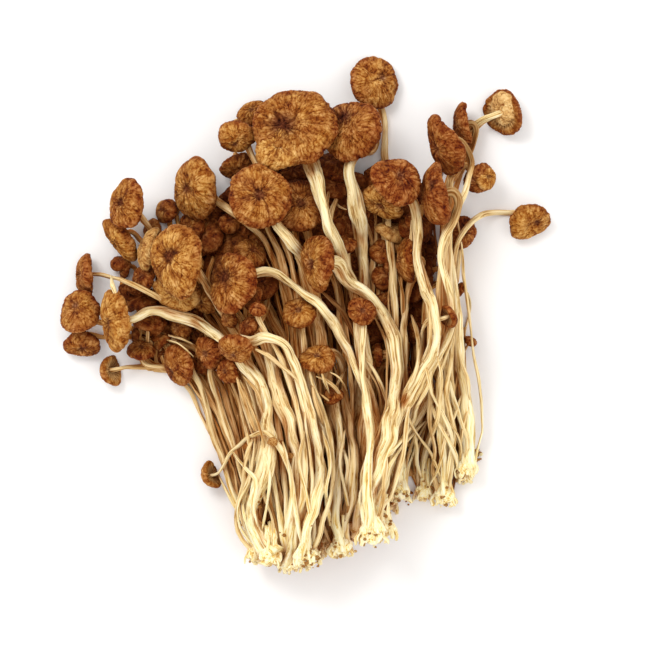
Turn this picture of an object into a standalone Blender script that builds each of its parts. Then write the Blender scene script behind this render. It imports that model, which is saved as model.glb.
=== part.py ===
"""A dried cluster of tea tree mushrooms, lying on its side.

Every mushroom is a wrinkled cap on a long dry stem. The stems run together
into lumps of root mass at the foot of the cluster. Places are read in pixels
of the photograph, which looks straight down: x runs right, y runs down, and
the cluster's heads point up the picture, which is +Y here. Heights are worked
out by laying the mushrooms down one after another, each on what lies below.
"""

import math

import bmesh
import bpy
import numpy as np
from mathutils import Vector

# Driving dimensions, in metres
PIXEL = 0.00036  # one pixel of the photograph on the cluster
MM = 0.001
GAP = 0.0003  # air between neighbours that are separate solids
MIDDLE = (305.6, 312.5)  # pixel at the middle of the cluster's box

# How a stem lies
NECK_WIDTHS = 0.9  # straight neck under a cap, in stem widths
NECK_DIAMETERS = 0.10  # and in cap diameters, added
TIP_ROOM = 1.2  # room for a stem's end among the gills, in its radii
LOOSE = 0.2 * MM  # more air between a cap and its own stem
LEAST_TURN = 2.4  # a bend keeps this many stem radii from the next one
SHARPEST = -0.2  # and turns back no further than this, as a cosine
NECK_TRIES = 10  # a neck is made longer until it clears its own cap
NECK_SPANS = 3  # this many lengths of the stem are tested against the cap
NECK_PLACES = 10  # at this many places each
MERGE = 11 * MM  # stems of one bundle grow together this close to the foot
SAG = 0.32  # how far a dry stem may dip between two points, per length
STEP = 0.5 * MM  # a stem is let down in steps of this size
SWEEPS = 140
LEAST_SHARE = 0.1  # a point isn't lifted for a place this near to its neighbour
SPACING = 0.8 * MM  # places along a stem that are tested against the pile
CLOSE_SPACING = 0.4 * MM  # and those that are added to it

# Heights are kept on a square grid over the floor
CELL = 0.6 * MM
CELLS = 360
PAD = 0.4 * MM

# Half section of a cap: distance from the axis in diameters, and height in
# thicknesses, from the sunken middle of the crown round the rim to the gills
CAP_SECTION = (
    (0.00, 0.90),
    (0.15, 1.00),
    (0.34, 0.86),
    (0.47, 0.52),
    (0.49, 0.16),
    (0.39, 0.00),
    (0.00, 0.30),
)
SMALL_CAP_SECTION = (
    (0.00, 0.96),
    (0.28, 0.92),
    (0.48, 0.50),
    (0.42, 0.06),
    (0.00, 0.26),
)
BUTTON_SECTION = (
    (0.00, 0.96),
    (0.28, 0.92),
    (0.48, 0.50),
    (0.42, 0.06),
    (0.00, 0.02),
)
CAP_CENTRE = 0.45  # height of a cap's middle, in thicknesses
RIM_INSIDE = 0.39  # where the rim curls under, in diameters
GILL_HEIGHT = 0.30  # height of the gills' middle, in thicknesses
EDGE_ON_OVAL = 0.62  # a cap seen from its edge has dried to an oval, this much shorter
THICKNESS = 0.27  # of a big cap, in diameters
ROUNDER = 0.16  # a small one is this much thicker
SMALL = 7 * MM  # caps of this size have all of it
LARGE = 15 * MM  # and caps of this size none
TWO_LOBES = 0.04  # how far a cap's outline is from round
THREE_LOBES = 0.03
RIM_WAVE = 0.05  # how far its rim rises and falls, in diameters
LOBE_TURNS = (7.3, 3.1)  # every cap's lobes lie another way round
FINE_STEPS = 12
FINE_SIDES = 140
UNDER_FROM = 3  # a cap's underside is tested from this place of its section on
UNDER_EACH = 3  # at every third point
WIDE_CAP = 20 * MM
SIDES = 8
WIDE_SIDES = 9
BUTTON_SIDES = 6
INSET = 0.25  # a small cap's stem runs this far into it, in thicknesses

# A lump of root mass: height and reach in half sizes, from its flat underside
LUMP_SECTION = ((-1.0, 0.0), (-1.0, 0.5), (-0.3, 0.97), (0.65, 0.72), (1.0, 0.0))
LUMP_SIDES = 7
LUMP_BUMPS = 0.12
LUMP_TURN = 5.7
ROOM = 1.12  # square of the reach that is kept free for a lump at its middle
END_ROOM = 0.45  # and the reach at its bottom and top
SPREAD_TURN = 2.4  # stems reach a lump side by side, each this much further round
SPREAD = 0.3
SPREAD_HEIGHT = 0.1
LUMP_LEVELS, LUMP_REACHES, LUMP_PLACES = 15, 12, 48  # close points all over a lump

THIN_STEM = 3.1 * MM
HAIR_STEM = 2.3 * MM

CAP_BROWN = (0.36, 0.17, 0.055, 1)
STEM_CREAM = (0.80, 0.66, 0.38, 1)


class Mushroom:
    """One cap on its stem, as it is seen from above."""

    def __init__(self, name, place, diameter, heading, tilt, widths, route, own=True):
        self.name = name
        self.place = place  # pixel at the middle of the cap
        self.diameter = diameter * MM
        self.heading = math.radians(heading)  # where the crown points, 90 is up
        self.tilt = math.radians(tilt)  # 90 faces the viewer, below 0 shows gills
        self.widths = [width * MM for width in widths]  # under the cap, at the foot
        self.route = route  # pixels along the stem, from the cap to the foot
        self.own = own  # False: the small cap is one solid with its stem


class Bundle:
    """Stems that grow from one lump of root mass."""

    def __init__(self, name, foot, size, mushrooms):
        self.name = name
        self.foot = foot  # pixel at the middle of the lump
        self.size = [length * MM for length in size]  # half sizes of the lump
        self.mushrooms = mushrooms


# The bundles, from the lowest to the topmost one
CLUSTER = [
    Bundle("stems_bed_right", (385, 503), (4.4, 4.2, 3.0), [
        Mushroom("cap_top", (375, 80), 19.4, 30, 70, (2.6, 3.0), [
            (383, 108), (385, 135), (388, 205), (380, 305), (377, 355), (378, 405), (382, 455)]),
        Mushroom("cap_bed_8", (389, 300), 10.0, 90, 50, (2.4, 2.6), [
            (391, 318), (392, 352), (390, 400), (387, 450)], own=False),
        Mushroom("cap_bed_9", (428, 270), 12.0, 180, 10, (2.4, 2.8), [
            (431, 288), (424, 330), (401, 430), (392, 475)], own=False),
        Mushroom("cap_behind_crown", (382, 203), 16.2, -120, 45, (2.8, 3.2), [
            (389, 222), (395, 300), (397, 345), (395, 400),
            (390, 455)]),
    ]),
    Bundle("stems_bed_left", (268, 541), (4.2, 4.6, 3.0), [
        Mushroom("cap_low_left", (80, 346), 14.4, -95, 40, (2.2, 2.6), [
            (100, 337), (130, 338), (165, 347), (196, 372), (217, 415),
            (235, 460), (252, 505)]),
        Mushroom("cap_gills_left", (108, 371), 11.9, 190, -35, (2.0, 2.2), [
            (125, 368), (145, 367), (165, 369), (188, 380), (207, 412),
            (244, 506)]),
        Mushroom("cap_bed_1", (139, 350), 10.4, 90, 45, (2.0, 2.2), [
            (142, 364), (163, 367), (188, 373), (209, 402), (227, 442),
            (246, 495)], own=False),
    ]),
    Bundle("stems_bed_middle", (297, 545), (4.0, 4.4, 3.0), [
        Mushroom("cap_bed_2", (211, 216), 9.4, 180, 60, (2.0, 2.2), [
            (222, 238), (242, 285), (263, 335), (281, 400), (293, 470)], own=False),
        Mushroom("cap_bed_3", (229, 222), 8.4, 60, 60, (2.0, 2.2), [
            (237, 245), (255, 292), (275, 345), (290, 410), (299, 480)], own=False),
        Mushroom("cap_bed_4", (210, 247), 8.6, 200, 50, (2.0, 2.2), [
            (224, 264), (243, 305), (263, 350), (281, 410), (292, 480)], own=False),
    ]),
    Bundle("stems_left", (265, 556), (4.0, 3.6, 2.6), [
        Mushroom("cap_bed_10", (122, 266), 8.0, 180, 20, (1.6, 1.8), [
            (135, 272), (162, 290), (195, 318), (225, 358), (246, 420),
            (257, 490)], own=False),
        Mushroom("cap_dark_left", (132, 294), 12.2, -100, 45, (2.0, 2.2), [
            (147, 302), (180, 318), (211, 345), (233, 390), (248, 440),
            (258, 500)]),
        Mushroom("cap_bed_11", (143, 277), 10.8, 150, 50, (2.0, 2.2), [
            (157, 288), (186, 308), (216, 340), (238, 385), (252, 440),
            (262, 500)], own=False),
        Mushroom("cap_edge_left", (82, 274), 16.6, 180, 20, (1.8, 2.0), [
            (110, 277), (128, 282), (150, 293), (172, 307),
            (201, 330), (226, 370), (243, 420), (255, 480)]),
    ]),
    Bundle("stems_bed_centre", (320, 538), (4.2, 4.4, 3.0), [
        Mushroom("cap_bed_5", (283, 250), 10.8, 200, 70, (2.2, 2.6), [
            (291, 268), (298, 310), (304, 362), (315, 480)], own=False),
        Mushroom("cap_bed_6", (333, 297), 10.0, 20, 60, (2.4, 2.8), [
            (327, 352), (325, 400), (322, 450), (320, 500)], own=False),
        Mushroom("cap_bed_7", (281, 300), 7.0, 170, 60, (1.8, 2.2), [
            (287, 310), (296, 342), (311, 440), (317, 490)], own=False),
    ]),
    Bundle("stems_upper_left", (280, 553), (4.4, 4.2, 2.8), [
        Mushroom("cap_bed_13", (165, 210), 9.0, 180, 50, (2.0, 2.2), [
            (177, 224), (196, 256), (228, 300), (260, 345), (277, 410),
            (282, 490)], own=False),
        Mushroom("cap_far_left_1", (118, 239), 18.0, 217, 20, (2.2, 2.6), [
            (138, 239), (183, 290), (213, 325), (241, 375),
            (258, 430), (268, 490)]),
        Mushroom("cap_far_left_2", (125, 203), 19.2, 175, 42, (2.2, 2.6), [
            (138, 212), (158, 240), (188, 270), (226, 308), (252, 357),
            (268, 420), (275, 490)]),
        Mushroom("cap_tan_edge", (147, 248), 15.8, 165, 15, (2.2, 2.6), [
            (158, 255), (186, 282), (214, 314), (237, 354), (255, 405),
            (269, 470)]),
        Mushroom("cap_bed_12", (203, 300), 11.8, 200, 50, (2.2, 2.6), [
            (237, 345), (263, 388), (278, 440), (282, 500)], own=False),
        Mushroom("cap_big_left", (177, 262), 26.0, 180, 50, (3.6, 4.2), [
            (199, 274), (219, 303), (241, 342), (259, 390), (271, 440),
            (278, 500)]),
    ]),
    Bundle("stems_lower_left", (256, 553), (3.6, 3.4, 2.6), [
        Mushroom("cap_outer_left", (78, 312), 16.6, 135, 62, (2.2, 2.6), [
            (96, 322), (125, 328), (160, 336), (194, 350), (217, 383),
            (233, 430), (244, 480), (253, 525)]),
        Mushroom("cap_left_low", (177, 366), 15.4, 200, 48, (2.6, 2.9), [
            (193, 374), (205, 404), (211, 433), (221, 459), (232, 492),
            (246, 522)]),
        Mushroom("cap_left_red", (207, 353), 12.6, 200, 55, (2.4, 2.6), [
            (210, 373), (218, 404), (229, 437), (241, 470), (250, 515)]),
    ]),
    Bundle("stems_crown_left", (309, 549), (4.4, 4.2, 2.8), [
        Mushroom("cap_upper_left", (194, 188), 22.7, 190, 48, (2.4, 2.8), [
            (215, 199), (235, 213), (250, 225), (264, 240), (279, 275),
            (290, 320), (297, 380), (304, 450)]),
        Mushroom("cap_knob_3", (237, 167), 12.8, -80, 50, (2.4, 2.8), [
            (247, 182), (263, 215), (281, 260), (293, 310), (300, 370),
            (307, 440)]),
        Mushroom("cap_knob_1", (252, 110), 11.8, 120, 55, (2.4, 2.6), [
            (262, 126), (277, 165), (291, 215), (303, 280), (309, 350),
            (311, 430)]),
        Mushroom("cap_knob_2", (237, 137), 13.8, -90, 60, (2.4, 2.8), [
            (249, 150), (267, 190), (285, 240), (298, 300), (305, 360),
            (310, 430)]),
    ]),
    Bundle("stems_right_outer", (462, 474), (3.4, 3.4, 2.6), [
        Mushroom("cap_right_dark", (463, 232), 13.2, 0, 60, (2.6, 3.0), [
            (459, 250), (456, 290), (455, 340), (458, 390), (462, 435)]),
        Mushroom("cap_small_1", (460, 289), 5.8, 150, 30, (0.9, 1.2), [
            (468, 292), (472, 305), (469, 323), (463, 344), (461, 366),
            (464, 400), (466, 440)], own=False),
        Mushroom("cap_small_2", (472, 341), 5.4, 60, 30, (0.9, 1.2), [
            (463, 361), (468, 383), (473, 405), (474, 431)], own=False),
        Mushroom("cap_far_right", (532, 222), 16.4, -75, 48, (2.0, 2.4), [
            (510, 211), (495, 211), (480, 216), (467, 227), (458, 243),
            (454, 266), (452, 292), (454, 335), (460, 385), (464, 430)]),
    ]),
    Bundle("stems_right_web", (426, 493), (4.0, 3.4, 2.4), [
        Mushroom("cap_bed_14", (413, 332), 8.6, 180, 40, (2.2, 2.4), [
            (417, 348), (422, 380), (428, 411), (433, 430), (428, 458)], own=False),
        Mushroom("cap_bed_15", (442, 322), 8.6, 90, 50, (2.2, 2.4), [
            (441, 340), (433, 366), (442, 388), (439, 410), (431, 440),
            (424, 468)], own=False),
        Mushroom("cap_bed_16", (402, 372), 7.2, 140, 50, (2.0, 2.2), [
            (404, 388), (403, 415), (407, 440), (416, 462)], own=False),
    ]),
    Bundle("stems_crown", (334, 546), (4.4, 4.2, 2.8), [
        Mushroom("cap_crown_back", (300, 205), 20.9, 60, 70, (3.0, 3.4), [
            (307, 232), (313, 270), (319, 320), (325, 380), (330, 440),
            (333, 500)]),
        Mushroom("cap_crown_front", (260, 197), 23.4, 90, 82, (4.2, 4.6), [
            (275, 222), (289, 240), (302, 258), (314, 300), (323, 350),
            (329, 410), (335, 480)]),
    ]),
    Bundle("stem_right_tall", (467, 468), (3.4, 3.4, 2.8), [
        Mushroom("cap_gills_right", (507, 110), 17.8, 15, -48, (3.0, 4.2), [
            (497, 110), (487, 115), (474, 127), (465, 142), (460, 158),
            (452, 172), (447, 190), (445, 215), (448, 246), (453, 282),
            (457, 322), (460, 362), (466, 400), (468, 436)]),
    ]),
    Bundle("stems_right_back", (446, 497), (4.0, 3.4, 2.6), [
        Mushroom("cap_spindle", (462, 123), 16.8, 185, 12, (2.0, 2.4), [
            (475, 140), (468, 160), (456, 188), (449, 225), (451, 330), (449, 390), (447, 445)]),
        Mushroom("cap_split", (480, 178), 12.6, -45, 50, (2.4, 2.6), [
            (466, 165), (456, 173), (449, 192), (446, 232), (445, 285),
            (445, 340), (446, 400), (446, 450)]),
        Mushroom("cap_finger", (443, 146), 23.0, 202, 24, (2.6, 3.0), [
            (471, 161), (465, 191), (450, 224), (441, 265), (439, 320),
            (439, 380), (442, 440)]),
    ]),
    Bundle("stems_middle_left", (290, 561), (4.4, 3.8, 2.8), [
        Mushroom("cap_twin_back", (251, 253), 13.4, 60, 45, (2.8, 3.4), [
            (258, 277), (263, 296), (272, 318), (283, 341), (292, 370),
            (299, 410), (304, 452), (303, 505)]),
        Mushroom("cap_small_6", (227, 371), 9.4, 180, 60, (2.0, 2.4), [
            (238, 380), (252, 410), (266, 450), (279, 505)], own=False),
        Mushroom("cap_small_5", (229, 319), 7.4, 200, 50, (2.2, 2.6), [
            (240, 327), (256, 350), (270, 390), (280, 440), (287, 500)], own=False),
        Mushroom("cap_small_7", (249, 326), 8.3, 150, 50, (4.0, 5.6), [
            (261, 338), (272, 368), (283, 405), (294, 440), (299, 475),
            (297, 515)], own=False),
        Mushroom("cap_small_8", (258, 309), 6.6, 90, 50, (2.0, 2.4), [
            (277, 350), (291, 388), (302, 432), (304, 485)], own=False),
    ]),
    Bundle("stems_right_inner", (399, 492), (3.8, 3.6, 2.6), [
        Mushroom("cap_right_tall", (433, 196), 23.0, 185, 18, (2.8, 3.2), [
            (439, 255), (446, 285), (451, 306), (448, 332),
            (438, 356), (429, 374), (428, 395), (418, 418), (407, 440),
            (401, 464)]),
        Mushroom("cap_small_3", (448, 316), 9.0, 20, -30, (1.6, 2.0), [
            (439, 316), (430, 319), (423, 329), (423, 346), (420, 372),
            (404, 445)], own=False),
    ]),
    Bundle("stems_tall", (359, 531), (5.2, 4.2, 3.2), [
        Mushroom("cap_small_9", (377, 356), 9.4, 180, 8, (2.8, 3.2), [
            (380, 370), (382, 400), (383, 435), (380, 480)], own=False),
        Mushroom("cap_crown_dark", (351, 129), 24.0, 150, 62, (4.8, 5.8), [
            (351, 160), (355, 200), (362, 243), (364, 286), (363, 335),
            (361, 380), (359, 412), (354, 445), (355, 476), (355, 506)]),
        Mushroom("cap_crown_big", (296, 126), 30.0, 105, 76, (4.6, 5.2), [
            (311, 160), (319, 192), (332, 235), (345, 265), (354, 290),
            (360, 330), (367, 370), (368, 406), (366, 446), (363, 490)]),
    ]),
    Bundle("stems_lower_middle", (342, 546), (4.4, 3.6, 2.6), [
        Mushroom("cap_orange", (299, 312), 12.8, 100, 60, (2.6, 3.0), [
            (302, 332), (313, 392), (322, 425), (331, 465),
            (337, 505)], own=False),
        Mushroom("cap_middle_low", (317, 358), 13.0, 90, 55, (2.6, 3.0), [
            (334, 353), (343, 368), (345, 402), (351, 432), (355, 462),
            (351, 500)]),
        Mushroom("cap_small_4", (333, 395), 7.9, 100, 50, (3.4, 4.2), [
            (330, 410), (338, 430), (341, 448), (338, 474), (334, 504)], own=False),
    ]),
    Bundle("stem_arched", (381, 527), (5.4, 3.8, 2.8), [
        Mushroom("cap_twin_front", (231, 283), 21.6, 170, 56, (2.8, 4.4), [
            (257, 272), (270, 272), (287, 281), (305, 294), (321, 307),
            (335, 325), (345, 346), (355, 366), (367, 389), (374, 415),
            (375, 443), (371, 476), (367, 503)]),
    ]),
    Bundle("stems_right_middle", (374, 517), (4.2, 3.8, 2.6), [
        Mushroom("cap_edge_middle", (406, 259), 17.6, 180, 14, (2.6, 3.0), [
            (410, 284), (406, 311), (403, 345), (404, 380), (397, 415),
            (387, 455), (379, 490)]),
        Mushroom("cap_crown_right", (396, 182), 18.6, 45, 65, (3.0, 4.6), [
            (413, 203), (417, 229), (419, 260), (425, 285), (433, 313),
            (436, 335), (431, 358), (418, 379), (405, 405), (393, 432),
            (382, 466), (374, 496)]),
    ]),
    Bundle("stems_bent", (371, 531), (5.0, 4.2, 3.0), [
        Mushroom("cap_middle", (317, 264), 21.4, 180, 32, (4.4, 5.2), [
            (333, 273), (350, 283), (371, 297), (385, 318), (395, 345),
            (395, 390), (388, 430), (376, 472), (368, 503)]),
        Mushroom("cap_red_disc", (362, 311), 10.4, 60, 82, (2.8, 3.4), [
            (362, 326), (361, 360), (366, 402), (370, 442), (367, 490)]),
    ]),
    Bundle("stem_sweeping", (271, 555), (4.6, 3.8, 2.8), [
        Mushroom("cap_left_gold", (114, 322), 23.0, 190, 24, (3.6, 6.2), [
            (129, 308), (157, 311), (186, 319), (214, 333), (234, 349),
            (249, 367), (261, 389), (267, 413), (269, 445), (262, 478),
            (255, 508), (258, 533)]),
    ]),
    Bundle("stems_front", (306, 555), (4.8, 3.8, 3.0), [
        Mushroom("cap_gills_low", (209, 477), 10.4, 200, -35, (1.6, 1.8), [
            (219, 470), (229, 455), (241, 443), (254, 434), (268, 432),
            (282, 448), (292, 478), (298, 520)]),
        Mushroom("cap_hook", (236, 349), 12.8, -100, 50, (3.2, 4.6), [
            (251, 341), (266, 337), (282, 343), (292, 357), (299, 380),
            (307, 403), (316, 442), (321, 470), (315, 498), (307, 527)]),
    ]),
]


def place(pixel):
    """Metres from the middle of the cluster, for a pixel of the photograph."""
    return ((pixel[0] - MIDDLE[0]) * PIXEL, (MIDDLE[1] - pixel[1]) * PIXEL)


def window(x, y, reach):
    """Grid cells within reach of a point, and their squared distances to it."""
    half = CELLS * CELL / 2
    left = max(0, int((x - reach + half) / CELL))
    right = min(CELLS, int((x + reach + half) / CELL) + 2)
    low = max(0, int((y - reach + half) / CELL))
    high = min(CELLS, int((y + reach + half) / CELL) + 2)
    xs = (np.arange(left, right) + 0.5) * CELL - half - x
    ys = (np.arange(low, high) + 0.5) * CELL - half - y
    return slice(low, high), slice(left, right), ys[:, None] ** 2 + xs[None, :] ** 2


def height_over(top, x, y, radius):
    """Lowest height for the middle of a round stem that lies over (x, y)."""
    rows, columns, square = window(x, y, radius + PAD)
    rise = np.sqrt(np.maximum((radius + PAD) ** 2 - square, 0))
    below = top[rows, columns]
    clear = np.where((rise > 0) & (below > 0), below + rise + GAP, 0)
    return max(radius, float(clear.max()))


def raise_ball(top, x, y, z, radius):
    """Add a short length of stem to the heights."""
    rows, columns, square = window(x, y, radius)
    inside = square < radius**2
    surface = z + np.sqrt(np.maximum(radius**2 - square, 0))
    view = top[rows, columns]
    view[inside] = np.maximum(view[inside], surface[inside])


def spread(points):
    """Grid cells of points, and the highest and lowest point in each of them."""
    half = CELLS * CELL / 2
    column = ((points[:, 0] + half) / CELL).astype(int)
    row = ((points[:, 1] + half) / CELL).astype(int)
    highest = np.full((CELLS, CELLS), -1.0)
    lowest = np.full((CELLS, CELLS), 1.0)
    np.maximum.at(highest, (row, column), points[:, 2])
    np.minimum.at(lowest, (row, column), points[:, 2])
    return highest, lowest


def widened(top):
    """The heights, each taken over its neighbouring cells too."""
    wide = top.copy()
    for step in (-1, 1):
        wide = np.maximum(wide, np.roll(top, step, 0))
    tall = wide.copy()
    for step in (-1, 1):
        tall = np.maximum(tall, np.roll(wide, step, 1))
    return tall


def lift_to_clear(top, points):
    """How far points must rise to lie clear of the heights and of the floor."""
    lowest = spread(points)[1]
    covered = lowest < 1.0
    below = widened(top)[covered]
    needed = np.where(below > 0, below + GAP, 0)
    return max(float((needed - lowest[covered]).max()), -points[:, 2].min())


def thickness(diameter):
    """A dry cap's thickness: big caps are flat, and small ones are rounder."""
    small = min(1.0, max(0.0, (LARGE - diameter) / (LARGE - SMALL)))
    return diameter * (THICKNESS + ROUNDER * small)


def axes(mushroom):
    """Two directions across a cap, and the one that its crown points in."""
    heading, tilt = mushroom.heading, mushroom.tilt
    crown = np.array((
        math.cos(tilt) * math.cos(heading),
        math.cos(tilt) * math.sin(heading),
        math.sin(tilt),
    ))
    across = np.array((-math.sin(heading), math.cos(heading), 0.0))
    return across, np.cross(crown, across), crown


def shrunk(mushroom):
    """How much shorter a cap is across its narrow way."""
    return EDGE_ON_OVAL + (1 - EDGE_ON_OVAL) * abs(math.sin(mushroom.tilt))


def cap_points(mushroom, section, sides):
    """Rings of points round a cap whose middle is at the origin."""
    across, along, crown = axes(mushroom)
    size = mushroom.diameter
    thick = thickness(size)
    narrow = shrunk(mushroom)
    turn = LOBE_TURNS[0] * mushroom.place[0] + LOBE_TURNS[1] * mushroom.place[1]
    rings = []
    for out, up in section:
        ring = []
        for side in range(sides):
            angle = 2 * math.pi * side / sides
            lobes = TWO_LOBES * math.cos(2 * angle + turn)
            lobes += THREE_LOBES * math.cos(3 * angle + 2 * turn)
            wave = RIM_WAVE * math.cos(2 * angle + 3 * turn) * size * (2 * out) ** 2
            reach = size * out * (1 + lobes)
            offset = thick * (up - CAP_CENTRE) + wave
            ring.append(
                across * reach * math.cos(angle)
                + along * reach * narrow * math.sin(angle)
                + crown * offset
            )
        rings.append(ring)
    return np.array(rings)


def fine_cap(mushroom):
    """Close points all over a cap, for finding what it touches."""
    section = []
    for (out, up), (next_out, next_up) in zip(CAP_SECTION, CAP_SECTION[1:]):
        for step in np.linspace(0, 1, FINE_STEPS, endpoint=False):
            section.append((out + step * (next_out - out), up + step * (next_up - up)))
    return cap_points(mushroom, section, FINE_SIDES)


def lowest_route(spots, needs, start, end):
    """Heights of a stem's points that keep it clear, smooth and low."""
    count = len(spots)
    lengths = [math.dist(spots[i], spots[i + 1]) for i in range(count - 1)]
    highest = max(float(wanted.max()) for parts, wanted in needs)
    ceiling = max(highest, end, start or 0) + STEP
    heights = [ceiling] * count
    heights[-1] = end
    if start is not None:
        heights[0] = start

    def lowest(i, other, segment, forward):
        """Height that point i needs for one segment beside it."""
        parts, wanted = needs[segment]
        share = 1 - parts if forward else parts
        use = share > LEAST_SHARE
        height = ((wanted[use] - (1 - share[use]) * heights[other]) / share[use]).max()
        return min(float(height), ceiling)

    for _ in range(SWEEPS):
        for i in range(count - 2, -1, -1):
            if i == 0 and start is not None:
                continue
            height = max(lowest(i, i + 1, i, True), heights[i] - STEP)
            if i > 0:
                height = max(height, lowest(i, i - 1, i - 1, False))
                share = lengths[i - 1] / (lengths[i - 1] + lengths[i])
                between = heights[i - 1] + share * (heights[i + 1] - heights[i - 1])
                height = max(height, between - SAG * min(lengths[i - 1], lengths[i]))
            heights[i] = min(heights[i], max(height, 0.0))
    return heights


def turns_back(bend, route, least):
    """Whether a route's first point is too near the neck's bend, or behind it."""
    ahead = np.subtract(route[0], bend)
    onward = np.subtract(route[1], route[0])
    sharpest = SHARPEST * math.hypot(*ahead) * math.hypot(*onward)
    return math.hypot(*ahead) < least or ahead @ onward < sharpest


def lay_mushroom(mushroom, foot, top, own_top):
    """Lay one mushroom on the pile. Returns the cap's middle and the stem's points."""
    crown = axes(mushroom)[2]
    size = mushroom.diameter
    middle = np.array(place(mushroom.place))
    thick = thickness(size)
    tip_radius = 0.5 * mushroom.widths[0]
    gills = RIM_INSIDE * size * shrunk(mushroom)
    hollow = GILL_HEIGHT * thick * (1 - TIP_ROOM * tip_radius / gills) - GAP
    tip_offset = crown * (hollow - CAP_CENTRE * thick)
    surface = fine_cap(mushroom)
    points = surface.reshape(-1, 3) + (*middle, 0)
    under = surface[UNDER_FROM * FINE_STEPS:].reshape(-1, 3)[::UNDER_EACH]
    blocked = np.maximum(top, own_top)
    neck = NECK_WIDTHS * mushroom.widths[0] + NECK_DIAMETERS * size
    for _ in range(NECK_TRIES):
        tip = middle + tip_offset[:2]
        bend = tip - crown[:2] * neck
        route = [place(pixel) for pixel in mushroom.route]
        while len(route) > 2 and turns_back(bend, route, LEAST_TURN * tip_radius):
            route.pop(0)
        spots = [tuple(bend)] + route + [foot[:2]]
        radii = np.linspace(tip_radius, 0.5 * mushroom.widths[1], len(spots))
        needs = []
        left = sum(math.dist(spots[i], spots[i + 1]) for i in range(len(spots) - 1))
        for i in range(len(spots) - 1):
            length = math.dist(spots[i], spots[i + 1])
            parts = np.linspace(0, 1, max(3, int(length / SPACING)))
            wanted = []
            for part in parts:
                x = spots[i][0] + part * (spots[i + 1][0] - spots[i][0])
                y = spots[i][1] + part * (spots[i + 1][1] - spots[i][1])
                heights = blocked if left - part * length > MERGE else top
                radius = radii[i] + part * (radii[i + 1] - radii[i])
                wanted.append(height_over(heights, x, y, radius))
            needs.append((parts, np.array(wanted)))
            left -= length
        heights = lowest_route(spots, needs, None, foot[2])
        tip_height = heights[0] + crown[2] * neck
        centre = tip_height - tip_offset[2]
        lifted = points + (0, 0, centre)
        extra = max(0.0, lift_to_clear(blocked, lifted))
        centre += extra
        heights = lowest_route(spots, needs, heights[0] + extra, foot[2])
        tip_height += extra
        stem = [(tip[0], tip[1], tip_height)]
        stem += [(*spot, height) for spot, height in zip(spots, heights)]
        shell = under + (*middle, centre)
        near = []
        for i in range(1, 1 + NECK_SPANS):
            for part in np.linspace(0, 1, NECK_PLACES):
                near.append(np.array(stem[i]) * (1 - part) + np.array(stem[i + 1]) * part)
        clear = min(float(np.linalg.norm(shell - point, axis=1).min()) for point in near)
        short = radii[0] + GAP + LOOSE - clear
        if short <= 0:
            break
        neck += short + LOOSE
    for i in range(len(stem) - 1):
        length = math.dist(stem[i], stem[i + 1])
        for part in np.linspace(0, 1, max(3, int(length / CLOSE_SPACING))):
            x, y, z = np.array(stem[i]) * (1 - part) + np.array(stem[i + 1]) * part
            thinner = radii[max(i - 1, 0)]
            raise_ball(own_top, x, y, z, thinner + part * (radii[i] - thinner))
    highest = spread(points + (0, 0, centre))[0]
    np.maximum(top, highest, out=top)
    return np.array((*middle, centre)), stem, [float(radius) for radius in (tip_radius, *radii)]


def foot_points(bundle):
    """Rings of points round a lump of root mass, from the bottom to the top."""
    wide, deep, high = bundle.size
    turn = LUMP_TURN * bundle.foot[0]
    widest = max(out for level, out in LUMP_SECTION)
    rings = []
    for level, out in LUMP_SECTION:
        ring = []
        for side in range(LUMP_SIDES):
            angle = 2 * math.pi * side / LUMP_SIDES
            bumps = 1 + LUMP_BUMPS * math.cos(3 * angle + turn) if out < widest else 1
            ring.append((
                wide * out * bumps * math.cos(angle),
                deep * out * bumps * math.sin(angle),
                high * level,
            ))
        rings.append(ring)
    return np.array(rings)


def lay_bundle(bundle, top):
    """Lay a bundle's lump, then its mushrooms, and return where they came to lie."""
    x, y = place(bundle.foot)
    lump = foot_points(bundle)
    solid = []
    for level in np.linspace(-1, 1, LUMP_LEVELS):
        for out in np.linspace(0, 1, LUMP_REACHES):
            for side in range(LUMP_PLACES):
                angle = 2 * math.pi * side / LUMP_PLACES
                reach = out * math.sqrt(ROOM - level**2 * (ROOM - END_ROOM**2))
                solid.append((
                    bundle.size[0] * reach * math.cos(angle),
                    bundle.size[1] * reach * math.sin(angle),
                    bundle.size[2] * level,
                ))
    solid = np.array(solid) + (x, y, 0)
    height = lift_to_clear(top, solid)
    own_top = np.zeros_like(top)
    laid = []
    for number, mushroom in enumerate(bundle.mushrooms):
        angle = SPREAD_TURN * number
        end = (
            x + SPREAD * bundle.size[0] * math.cos(angle),
            y + SPREAD * bundle.size[1] * math.sin(angle),
            height + SPREAD_HEIGHT * bundle.size[2] * math.cos(2 * angle),
        )
        laid.append(lay_mushroom(mushroom, end, top, own_top))
    highest = spread(solid + (0, 0, height))[0]
    np.maximum(top, own_top, out=top)
    np.maximum(top, highest, out=top)
    return lump + (x, y, height), laid


def material(name, colour, roughness):
    """A plain material of one colour."""
    made = bpy.data.materials.new(name)
    made.use_nodes = True
    shader = made.node_tree.nodes["Principled BSDF"]
    shader.inputs["Base Color"].default_value = colour
    shader.inputs["Roughness"].default_value = roughness
    shader.inputs["Metallic"].default_value = 0
    return made


def new_object(name, work, finish):
    """An object from a bmesh, with its faces turned outwards."""
    bmesh.ops.recalc_face_normals(work, faces=work.faces)
    mesh = bpy.data.meshes.new(name)
    work.to_mesh(mesh)
    work.free()
    mesh.materials.append(finish)
    made = bpy.data.objects.new(name, mesh)
    bpy.context.scene.collection.objects.link(made)
    return made


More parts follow.
